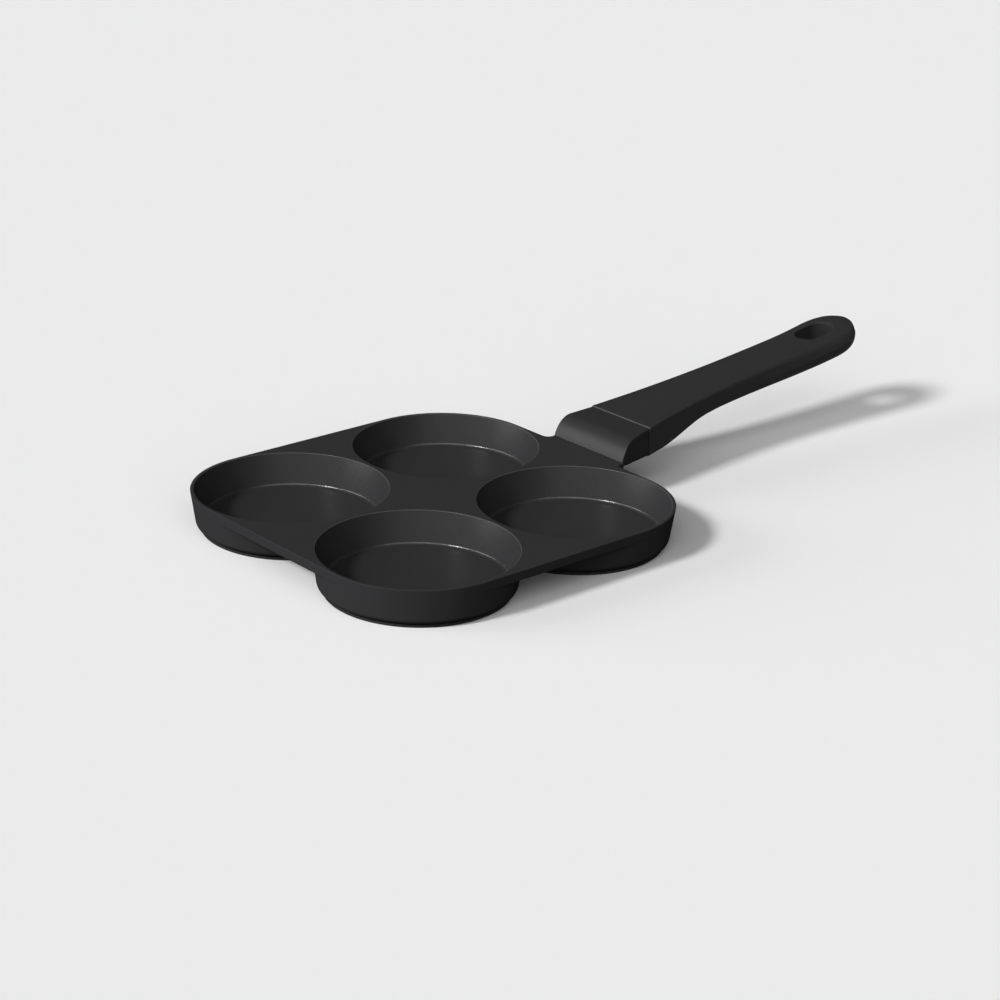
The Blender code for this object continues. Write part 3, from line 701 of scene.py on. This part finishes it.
def hood_outline(size, handle, inset, rear, foot_level):
    """Side view of the hood: bulging front, round shoulder and a top that rises to the seam."""
    front = ferrule_start(size, handle)
    seam_x = seam(size, handle)
    lean = Vector((handle.front_lean, 1.0)).normalized()
    rise = Vector((1.0, handle.rise)).normalized()
    crest_x = front + handle.crest_distance
    foot = Vector((front + handle.ferrule_setback, clearance))
    crest = Vector((crest_x, handle.rear_top - (seam_x - crest_x) * handle.rise))
    handles = (foot, foot + lean * handle.front_pull, crest - rise * handle.crest_pull, crest)
    curve = []
    for step in range(hood_steps + 1):
        point, heading = bezier_point(handles, step / hood_steps)
        curve.append((point.x + heading.y * inset, point.y - heading.x * inset))
    first_x, first_z = curve[0]
    start = (first_x + (foot_level - first_z) * handle.front_lean, foot_level)
    last_x, last_z = curve[-1]
    top_end = (seam_x + rear, last_z + (seam_x + rear - last_x) * handle.rise)
    return [start] + [point for point in curve if point[1] > foot_level + clearance] + [top_end]


def round_hood(piece, size, handle):
    """Rounds the hood's edges: widely along its underside, finely on its sides and rear."""
    mesh = piece.data
    seam_x = seam(size, handle)
    weights = mesh.attributes.new("bevel_weight_edge", "FLOAT", "EDGE")
    for edge in mesh.edges:
        first, second = (mesh.vertices[index].co for index in edge.vertices)
        same_side = first.y * second.y > 0
        rounding = 0.0
        if min(first.x, second.x) > seam_x - clearance:
            rounding = handle.rear_rounding
        elif same_side and max(first.z, second.z) < clearance - handle.ferrule_drop:
            rounding = handle.under_rounding
        elif same_side:
            rounding = handle.side_rounding
        weights.data[edge.index].value = rounding / handle.under_rounding
    bevel = piece.modifiers.new("rounded edges", "BEVEL")
    bevel.width = handle.under_rounding
    bevel.segments = 6
    bevel.limit_method = "WEIGHT"


class FOURCUP_OT_ferrule(Operator):
    """Build the coated ferrule, a hollow hood between pad and grip"""

    bl_idname = "fourcup.ferrule"
    bl_label = "Ferrule"

    def execute(self, context):
        size, handle, finish = pan_settings(context)
        seam_x = seam(size, handle)
        start_x = ferrule_start(size, handle)
        low = -handle.ferrule_drop

        def outer_half(x):
            part = (x - start_x) / handle.ferrule_length
            return between(handle.ferrule_front, handle.ferrule_rear, part)

        def inner_half(x):
            return outer_half(x) - handle.ferrule_wall

        shell = hood_outline(size, handle, 0.0, 0.0, low) + [(seam_x, low)]
        piece = side_prism("handle_ferrule_fine", shell, outer_half)
        round_hood(piece, size, handle)
        front = start_x - overrun
        floor = low + handle.ferrule_floor
        floor_start = start_x + handle.ferrule_floor_start
        hollow = hood_outline(size, handle, handle.ferrule_wall, overrun, clearance)
        hollow += [
            (seam_x + overrun, floor),
            (floor_start, floor),
            (floor_start, low - overrun),
            (front, low - overrun),
            (front, clearance),
        ]
        seat_end = size.boss_end + clearance
        seat = [
            (front, low - overrun),
            (seat_end, low - overrun),
            (seat_end, clearance),
            (front, clearance),
        ]
        boolean(piece, cuts=[
            side_prism("hood_hollow", hollow, inner_half),
            side_prism("pad_notch", seat, size.boss_half_width + overrun),
        ])
        finish_piece(piece, ferrule_material(finish), ["handle_ferrule"])
        # Painted shade: the ferrule's sides get the matt coat without sheen, so they show darker than its
        # front and top
        coat_faces(piece, outside_material(finish), lambda face: abs(face.normal.y) > sideways)
        return {"FINISHED"}


# Grip
def grip_half_width(handle, distance):
    """Half width of the grip's top face: tapers to the waist, then swells to the end."""
    root = handle.ferrule_rear + handle.proud_side
    waist = handle.waist_distance
    if distance < waist:
        part = distance / waist
        fall = handle.root_taper * waist * part * (1 - part) ** 2
        return eased(root, handle.waist_half_width, part) - fall
    part = (distance - waist) / (handle.grip_length - waist)
    return between(handle.waist_half_width, handle.end_half_width, part ** swell_power)


def grip_top(handle, distance):
    """Height of the grip's top edge: a shallow bow, then a flick up to the end."""
    flick = max(distance - handle.grip_length + handle.flick_length, 0.0) / handle.flick_length
    bow = handle.bow * (distance / handle.grip_length) ** 2
    return handle.root_top + handle.rise * distance - bow + handle.flick * flick ** 2


def along_grip(distance, marks):
    """Eases through (distance, value) marks along the grip."""
    for (start, first), (end, second) in zip(marks, marks[1:]):
        if distance < end:
            break
    return eased(first, second, (distance - start) / (end - start))


def grip_depth(handle, distance):
    """Depth of the grip under its top edge: deep at the root, slim at the neck, then a palm."""
    return along_grip(distance, (
        (handle.root_hold, handle.root_depth),
        (handle.neck_distance, handle.neck_depth),
        (handle.palm_distance, handle.palm_depth),
        (handle.grip_length, handle.end_depth),
    ))


def grip_facet(handle, distance):
    """Height of the flat side facet under the grip's top edge."""
    return along_grip(distance, (
        (handle.root_hold, handle.root_depth - handle.root_under),
        (handle.neck_distance, handle.neck_facet),
        (handle.grip_length, handle.end_facet),
    ))


def crown_height(handle, distance):
    """How far the middle of the grip's top stands over its edges."""
    return handle.crown * (distance / handle.grip_length) ** crown_power


def grip_section(handle, distance):
    """Closed cross section of the grip at one distance from the seam, as (y, z) points.

    From the middle of the top it runs over the crown, round the top edge, down the side
    facet, which leans outwards more and more, and round the underside, a superellipse.
    """
    part = distance / handle.grip_length
    nose = max(distance - handle.grip_length + handle.nose_length, 0.0) / handle.nose_length
    plan = max(math.sqrt(max(1 - nose ** handle.nose_power, 0.0)), tip_width_share)
    slim = between(tip_depth_share, 1.0, plan)
    half_width = grip_half_width(handle, distance) * plan
    lean = handle.end_lean * part * plan
    depth = grip_depth(handle, distance) * slim
    facet = grip_facet(handle, distance) * slim
    edge = min(between(handle.root_edge, handle.end_edge, part) * plan, facet / 2)
    crown = crown_height(handle, distance) * plan
    power = between(root_squareness, palm_squareness, min(squareness_fall * part, 1.0))
    top = grip_top(handle, distance)
    flat = half_width - edge
    right = []
    for step in range(crown_steps):
        y = flat * step / crown_steps
        right.append((y, top + crown * (1 - (y / half_width) ** 2)))
    edge_lift = crown * (1 - (flat / half_width) ** 2)
    for y, z in arc((flat, -edge), edge, 90, 0, steps=8):
        lift = edge_lift * (1 - (y - flat) / edge)
        right.append((y - z * lean / facet, top + z + lift))
    for degrees in under_angles:
        turn = math.radians(degrees)
        y = (half_width + lean) * math.cos(turn) ** (2 / power)
        right.append((y, top - facet - (depth - facet) * math.sin(turn) ** (2 / power)))
    right.append((0.0, top - depth))
    left = [(-y, z) for y, z in reversed(right[1:-1])]
    return right + left


def grip_rings(handle, start):
    """Cross sections of the whole grip: a rounded front edge, even stations and a round nose."""
    rounding = handle.front_rounding
    body = handle.grip_length - handle.nose_length
    stations = [rounding + (body - rounding) * step / body_steps for step in range(body_steps)]
    for step in range(nose_steps + 1):
        stations.append(body + handle.nose_length * math.sin(math.radians(90 * step / nose_steps)))
    front = grip_section(handle, 0.0)
    half_width = max(y for y, z in front)
    half_depth = handle.root_depth / 2
    middle_z = handle.root_top - half_depth
    rings = []
    for inset, x in arc((rounding, rounding), rounding, 270, 180, steps=5)[:-1]:
        near_y = 1 - inset / half_width
        near_z = 1 - inset / half_depth
        rings.append([(start + x, y * near_y, middle_z + (z - middle_z) * near_z) for y, z in front])
    for distance in stations:
        rings.append([(start + distance, y, z) for y, z in grip_section(handle, distance)])
    return rings


def hole_cutter(handle, start):
    """A cutter for the hanging hole with soft rims, square to the grip's top there."""
    distance = handle.grip_length - handle.hole_tip_distance
    depth = grip_depth(handle, distance)
    across = handle.hole_width / 2 / grip_half_width(handle, distance)
    rim = crown_height(handle, distance) * (1 - across ** 2)
    soft = handle.hole_rounding
    levels = [(overrun + soft, rim + overrun)]
    levels += arc((soft, rim - soft), soft, 90, 180, steps=8)
    levels += arc((soft, soft - depth), soft, 180, 270, steps=8)
    levels.append((overrun + soft, -depth - overrun))
    reach = (handle.hole_length - handle.hole_width) / 2
    rings = []
    for grow, height in levels:
        radius = handle.hole_width / 2 + grow
        outline = arc((reach, 0.0), radius, -90, 90, steps=32)
        outline += arc((-reach, 0.0), radius, 90, 270, steps=32)
        rings.append([(x, y, height) for x, y in outline])
    tool = loft("hole_cutter", rings)
    half = handle.hole_length / 2
    climb = grip_top(handle, distance + half) - grip_top(handle, distance - half)
    turn = Matrix.Rotation(-math.atan(climb / handle.hole_length), 4, "Y")
    tool.data.transform(Matrix.Translation((start + distance, 0.0, grip_top(handle, distance))) @ turn)
    return tool


class FOURCUP_OT_grip(Operator):
    """Build the moulded grip with its hanging hole, socket and screw wells"""

    bl_idname = "fourcup.grip"
    bl_label = "Grip"

    def execute(self, context):
        size, handle, finish = pan_settings(context)
        start = grip_start(size, handle)
        inset = handle.ferrule_wall + clearance
        tip_x = start - handle.spigot_length
        root_x = start + inset
        plug_low = handle.ferrule_floor - handle.ferrule_drop + clearance
        plug_drop = handle.proud_top + inset * handle.slant
        plug = [
            (tip_x, plug_low),
            (root_x, plug_low),
            (root_x, rise_line(size, handle, root_x) - plug_drop),
            (tip_x, rise_line(size, handle, tip_x) - plug_drop),
        ]
        spigot = side_prism("spigot", plug, handle.ferrule_rear - inset)
        socket = side_prism("socket", tongue_outline(size, handle, clearance),
                            size.tongue_half_width + clearance)
        under = -tongue_cover(size, handle) - size.tongue_thickness
        seat = under - clearance - handle.seat_wall
        bores = screw_bars(size, handle, "bore", handle.screw_hole, seat - overrun, under)
        wells = screw_bars(size, handle, "well", handle.well_radius, -handle.root_depth - overrun, seat)
        piece = boolean(
            loft("handle_grip_fine", grip_rings(handle, start)),
            joins=[spigot],
            cuts=[socket, hole_cutter(handle, start)] + bores + wells,
        )
        finish_piece(piece, grip_material(finish), ["handle_grip"], sharp_degrees=35)

        def on_front_edge(face):
            at_seam = 0.0 < face.center.x - start < handle.front_rounding
            return at_seam and face.center.z > handle.rear_top

        # Painted highlight: the grip's rounded front edge at the seam gets the lighter colour
        coat_faces(piece, painted_highlight_material(finish), on_front_edge)
        return {"FINISHED"}


# Shader helpers
def add_node(tree, kind, inputs=None, **options):
    """Adds a node, sets its options and fills its inputs with values or with links."""
    node = tree.nodes.new(kind)
    for option, value in options.items():
        setattr(node, option, value)
    for name, value in (inputs or {}).items():
        if isinstance(value, NodeSocket):
            tree.links.new(value, node.inputs[name])
        else:
            node.inputs[name].default_value = value
    return node


def add_math(tree, operation, *values, **options):
    """Adds a Math node and gives its result."""
    inputs = dict(enumerate(values))
    return add_node(tree, "ShaderNodeMath", inputs, operation=operation, **options).outputs[0]


def add_mix(tree, part, first, second):
    """Adds a node that gives a colour between two others."""
    return add_node(tree, "ShaderNodeMix", {0: part, 6: first, 7: second}, data_type="RGBA").outputs[2]


def new_group(name, defaults, results):
    """A shader node group with its inputs' defaults and its results' kinds, and what it is given."""
    group = bpy.data.node_groups.new(name, "ShaderNodeTree")
    for label, default in defaults.items():
        kind = "Color" if isinstance(default, tuple) else "Float"
        socket = group.interface.new_socket(label, in_out="INPUT", socket_type="NodeSocket" + kind)
        socket.default_value = default
    for label, kind in results.items():
        group.interface.new_socket(label, in_out="OUTPUT", socket_type="NodeSocket" + kind)
    return group, group.nodes.new("NodeGroupInput").outputs


def noise(tree, vector, size, detail):
    """Noise whose blobs measure about the given size, in metres."""
    scale = add_math(tree, "DIVIDE", 1.0, size)
    inputs = {"Vector": vector, "Scale": scale, "Detail": detail, "Roughness": 0.6}
    return add_node(tree, "ShaderNodeTexNoise", inputs).outputs["Fac"]


def fine_grain(name):
    """Sprayed or moulded grain: a height for bumps and a mask of the few brightest grains."""
    group, given = new_group(name, {"Grain Size": 0.0005}, {"Height": "Float", "Speckle": "Float"})
    place = add_node(group, "ShaderNodeTexCoord").outputs["Object"]
    grain = noise(group, place, given["Grain Size"], detail=2.0)
    speck = noise(group, place, given["Grain Size"], detail=0.0)
    mask = add_node(group, "ShaderNodeMapRange", {"Value": speck, "From Min": 0.6, "From Max": 0.72})
    add_node(group, "NodeGroupOutput", {"Height": grain, "Speckle": mask.outputs["Result"]})
    return group


def patchy_tone(name):
    """Slow changes of tone over a surface: the colour itself and a mask for its roughness."""
    group, given = new_group(
        name,
        {"Color": (0.5, 0.5, 0.5, 1.0), "Patch Size": 0.03, "Contrast": 0.05},
        {"Color": "Color", "Mask": "Float"},
    )
    place = add_node(group, "ShaderNodeTexCoord").outputs["Object"]
    patches = noise(group, place, given["Patch Size"], detail=3.0)
    centered = add_math(group, "SUBTRACT", patches, 0.5)
    factor = add_math(group, "MULTIPLY_ADD", centered, given["Contrast"], 1.0)
    inputs = {0: given["Color"], "Scale": factor}
    tone = add_node(group, "ShaderNodeVectorMath", inputs, operation="SCALE").outputs["Vector"]
    add_node(group, "NodeGroupOutput", {"Color": tone, "Mask": patches})
    return group


def turned_lines(name):
    """Fine rings round the piece's own axis, as turning or brushing leaves them."""
    group, given = new_group(name, {"Line Spacing": 0.0003}, {"Height": "Float", "Mask": "Float"})
    place = add_node(group, "ShaderNodeTexCoord").outputs["Object"]
    flat = add_node(group, "ShaderNodeVectorMath", {0: place, 1: (1.0, 1.0, 0.0)}, operation="MULTIPLY")
    radius = add_node(group, "ShaderNodeVectorMath", {0: flat.outputs["Vector"]}, operation="LENGTH")
    inputs = {
        "W": radius.outputs["Value"],
        "Scale": add_math(group, "DIVIDE", 1.0, given["Line Spacing"]),
        "Detail": 3.0,
    }
    lines = add_node(group, "ShaderNodeTexNoise", inputs, noise_dimensions="1D").outputs["Fac"]
    mask = add_node(group, "ShaderNodeMapRange", {"Value": lines, "From Min": 0.3, "From Max": 0.7})
    add_node(group, "NodeGroupOutput", {"Height": lines, "Mask": mask.outputs["Result"]})
    return group


effects = {"Fine Grain": fine_grain, "Patchy Tone": patchy_tone, "Turned Lines": turned_lines}


def add_effect(tree, name, **inputs):
    """Places an effect's node group, built once, and sets its inputs; underscores stand for spaces."""
    node = tree.nodes.new("ShaderNodeGroup")
    node.node_tree = bpy.data.node_groups.get(name) or effects[name](name)
    for label, value in inputs.items():
        node.inputs[label.replace("_", " ")].default_value = value
    return node.outputs


def new_material(name, metallic=0.0, specular=0.1):
    material = bpy.data.materials.new(name)
    material.use_nodes = True
    shader = material.node_tree.nodes["Principled BSDF"]
    shader.inputs["Metallic"].default_value = metallic
    shader.inputs["Specular IOR Level"].default_value = specular
    return material, material.node_tree, shader.inputs


def set_roughness(tree, sockets, mask, low, high):
    spread = add_node(tree, "ShaderNodeMapRange", {"Value": mask, "To Min": low, "To Max": high})
    tree.links.new(spread.outputs["Result"], sockets["Roughness"])


def set_bump(tree, sockets, height, distance):
    bump = add_node(tree, "ShaderNodeBump", {"Height": height, "Distance": distance, "Strength": 1.0})
    tree.links.new(bump.outputs["Normal"], sockets["Normal"])


def coat(finish, name, coat_color, grain_size, specular, roughness, grain_height):
    """A sprayed coating, patchy in tone and finely grained. Pieces with the same one share it."""
    if name in bpy.data.materials:
        return bpy.data.materials[name]
    material, tree, sockets = new_material(name, specular=specular)
    tone = add_effect(tree, "Patchy Tone", Color=(*coat_color, 1.0), Patch_Size=finish.patch_size,
                      Contrast=0.12)
    grain = add_effect(tree, "Fine Grain", Grain_Size=grain_size)
    tree.links.new(tone["Color"], sockets["Base Color"])
    set_roughness(tree, sockets, tone["Mask"], *roughness)
    set_bump(tree, sockets, grain["Height"], grain_height)
    return material


def coating_material(finish):
    """Non-stick coating: charcoal with a soft sheen."""
    return coat(finish, "nonstick coating", finish.coating_color, finish.coating_grain,
                specular=0.2, roughness=(0.31, 0.37), grain_height=0.00005)


def outside_material(finish):
    """Heat-proof coating of the sides and the underside, without sheen. On the ferrule's sides it is
    painted shade: there it only makes the sides darker than the ferrule's front and top.
    """
    return coat(finish, "outside coating", finish.outside_color, finish.coating_grain,
                specular=0.0, roughness=(0.5, 0.6), grain_height=0.00004)


def pooled_material(finish):
    """The non-stick coating where it pools between a cup's floor and wall: glossier and coarser."""
    return coat(finish, "pooled coating", finish.coating_color, finish.coating_grain,
                specular=0.5, roughness=(0.2, 0.26), grain_height=0.0001)


def painted_highlight_material(finish):
    """Painted highlight: a lighter colour on the cups' mouths and the grip's front edge, where the lamps'
    highlight shows on their rounding.
    """
    return coat(finish, "painted highlight edge", finish.highlight_edge_color, finish.coating_grain,
                specular=0.2, roughness=(0.28, 0.34), grain_height=0.00004)


def ferrule_material(finish):
    """Coated die casting: satin charcoal."""
    return coat(finish, "ferrule coating", finish.ferrule_color, finish.ferrule_grain,
                specular=0.22, roughness=(0.38, 0.44), grain_height=0.00004)


def grip_material(finish):
    """Heat-proof moulding: black-grey with an eroded grain and a few lighter specks."""
    material, tree, sockets = new_material("grip moulding", specular=0.03)
    tone = add_effect(tree, "Patchy Tone", Color=(*finish.grip_color, 1.0),
                      Patch_Size=finish.patch_size, Contrast=0.1)
    grain = add_effect(tree, "Fine Grain", Grain_Size=finish.grip_grain)
    specked = add_mix(tree, grain["Speckle"], tone["Color"], (*finish.speck_color, 1.0))
    tree.links.new(specked, sockets["Base Color"])
    set_roughness(tree, sockets, grain["Height"], low=0.45, high=0.65)
    set_bump(tree, sockets, grain["Height"], distance=0.00003)
    return material


def bare_metal(finish, name, metal_color, roughness):
    """Bare or plated metal with turned lines round its axis."""
    material, tree, sockets = new_material(name, metallic=1.0)
    tone = add_effect(tree, "Patchy Tone", Color=(*metal_color, 1.0), Patch_Size=finish.patch_size,
                      Contrast=0.2)
    lines = add_effect(tree, "Turned Lines", Line_Spacing=finish.line_spacing)
    tree.links.new(tone["Color"], sockets["Base Color"])
    set_roughness(tree, sockets, lines["Mask"], *roughness)
    set_bump(tree, sockets, lines["Height"], distance=0.00001)
    return material


def steel_material(finish):
    return bare_metal(finish, "induction steel", finish.steel_color, roughness=(0.28, 0.46))


def zinc_material(finish):
    return bare_metal(finish, "zinc plate", finish.zinc_color, roughness=(0.25, 0.4))


def brass_material(finish):
    return bare_metal(finish, "insert brass", finish.brass_color, roughness=(0.25, 0.38))


class FOURCUP_OT_fasteners(Operator):
    """Finish the screws, washers and threaded inserts inside the handle"""

    bl_idname = "fourcup.fasteners"
    bl_label = "Fasteners"

    def execute(self, context):
        zinc = zinc_material(context.scene.finish_settings)
        brass = brass_material(context.scene.finish_settings)
        finishes = {
            "handle_screw": (zinc, "zinc_plated_steel"),
            "lock_washer": (zinc, "zinc_plated_steel"),
            "plain_washer": (zinc, "zinc_plated_steel"),
            "threaded_insert": (brass, "insert_brass"),
        }
        for kind, (material, slot_name) in finishes.items():
            for side in ("left", "right"):
                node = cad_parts[kind + "_" + side]
                for slot in node.material_slots:
                    slot.material = material
        return {"FINISHED"}


# Stage
def floor_material(stage):
    """Matt paint that is pale to the camera and darker to the light that bounces off it."""
    material, tree, sockets = new_material("floor paint", specular=0.0)
    path = add_node(tree, "ShaderNodeLightPath").outputs
    direct = add_math(tree, "ADD", path["Is Camera Ray"], path["Is Glossy Ray"])
    seen = add_math(tree, "ADD", direct, path["Is Transmission Ray"], use_clamp=True)
    tone = add_mix(tree, seen, (*stage.floor_bounce, 1.0), (*stage.floor_color, 1.0))
    tree.links.new(tone, sockets["Base Color"])
    sockets["Roughness"].default_value = 0.9
    return material


def add_floor(stage):
    """A plain floor at the height on which the pan stands."""
    bm = bmesh.new()
    bmesh.ops.create_grid(bm, x_segments=1, y_segments=1, size=stage.floor_size / 2)
    floor = add_mesh("floor", bm)
    floor.data.materials.append(floor_material(stage))


def add_sun(name, energy, heading, elevation, softness):
    """Soft light from one side; the heading turns from +X towards +Y."""
    data = bpy.data.lights.new(name, "SUN")
    data.energy = energy
    data.angle = softness
    lamp = add_object(name, data)
    flat = math.cos(elevation)
    source = Vector((flat * math.cos(heading), flat * math.sin(heading), math.sin(elevation)))
    lamp.rotation_mode = "QUATERNION"
    lamp.rotation_quaternion = source.to_track_quat("Z", "Y")
    lamp.location = source


def add_sky(stage):
    world = bpy.data.worlds.new("studio")
    world.use_nodes = True
    background = world.node_tree.nodes["Background"].inputs
    background["Color"].default_value = (*stage.sky_color, 1.0)
    background["Strength"].default_value = 1.0
    bpy.context.scene.world = world


def add_camera(stage):
    """The camera at the photograph's angle, placed round a point in the pan's frame."""
    data = bpy.data.cameras.new("camera")
    data.lens = stage.lens
    data.sensor_width = stage.sensor_width
    data.clip_start = 0.05
    camera = add_object("camera", data)
    heading = stage.camera_heading
    flat = math.cos(stage.camera_elevation)
    back = Vector((math.sin(heading) * flat, -math.cos(heading) * flat, math.sin(stage.camera_elevation)))
    right = Vector((math.cos(heading), math.sin(heading), 0.0))
    turn = Matrix((right, back.cross(right), back)).transposed()
    turn = turn @ Matrix.Rotation(stage.camera_roll, 3, "Z")
    camera.matrix_world = (
        Matrix.Translation(pan_origin() + Vector(stage.camera_target) + back * stage.camera_distance)
        @ turn.to_4x4()
    )
    bpy.context.scene.camera = camera


class FOURCUP_OT_stage(Operator):
    """Set the pan on a plain pale floor in soft light, seen from the photograph's angle"""

    bl_idname = "fourcup.stage"
    bl_label = "Stage"

    def execute(self, context):
        stage = context.scene.stage_settings
        add_floor(stage)
        high = stage.lamp_elevation
        add_sun("key", stage.key_strength, stage.key_heading, high, stage.key_softness)
        add_sun("side", stage.side_strength, stage.side_heading, high, stage.side_softness)
        add_sun("fill", stage.fill_strength, stage.fill_heading, high, stage.fill_softness)
        add_sun("low", stage.low_strength, stage.low_heading, stage.low_elevation, stage.low_softness)
        add_sky(stage)
        add_camera(stage)
        context.scene.view_settings.view_transform = "Standard"
        return {"FINISHED"}


class FOURCUP_PT_panel(Panel):
    """The pan's builders and settings in the 3D view's sidebar"""

    bl_idname = "FOURCUP_PT_panel"
    bl_label = "Four-Cup Pan"
    bl_space_type = "VIEW_3D"
    bl_region_type = "UI"
    bl_category = "Four-Cup Pan"

    def draw(self, context):
        column = self.layout.column(align=True)
        for operator in operators:
            column.operator(operator.bl_idname)
        for attribute, settings in settings_groups.items():
            box = self.layout.box()
            box.label(text=settings.__doc__)
            for name in settings.__annotations__:
                box.prop(getattr(context.scene, attribute), name)


settings_groups = {
    "casting_sizes": CastingSizes,
    "handle_sizes": HandleSizes,
    "finish_settings": FinishSettings,
    "stage_settings": StageSettings,
}
operators = (
    FOURCUP_OT_casting,
    FOURCUP_OT_induction_discs,
    FOURCUP_OT_ferrule,
    FOURCUP_OT_grip,
    FOURCUP_OT_fasteners,
    FOURCUP_OT_stage,
)


def register():
    for attribute, settings in settings_groups.items():
        bpy.utils.register_class(settings)
        setattr(bpy.types.Scene, attribute, PointerProperty(type=settings))
    for operator in operators:
        bpy.utils.register_class(operator)
    bpy.utils.register_class(FOURCUP_PT_panel)


def unregister():
    bpy.utils.unregister_class(FOURCUP_PT_panel)
    for operator in reversed(operators):
        bpy.utils.unregister_class(operator)
    for attribute, settings in settings_groups.items():
        delattr(bpy.types.Scene, attribute)
        bpy.utils.unregister_class(settings)


def main():
    register()
    bpy.ops.fourcup.casting()
    bpy.ops.fourcup.induction_discs()
    bpy.ops.fourcup.ferrule()
    bpy.ops.fourcup.grip()
    bpy.ops.fourcup.fasteners()
    bpy.ops.fourcup.stage()


if __name__ == "__main__":
    main()
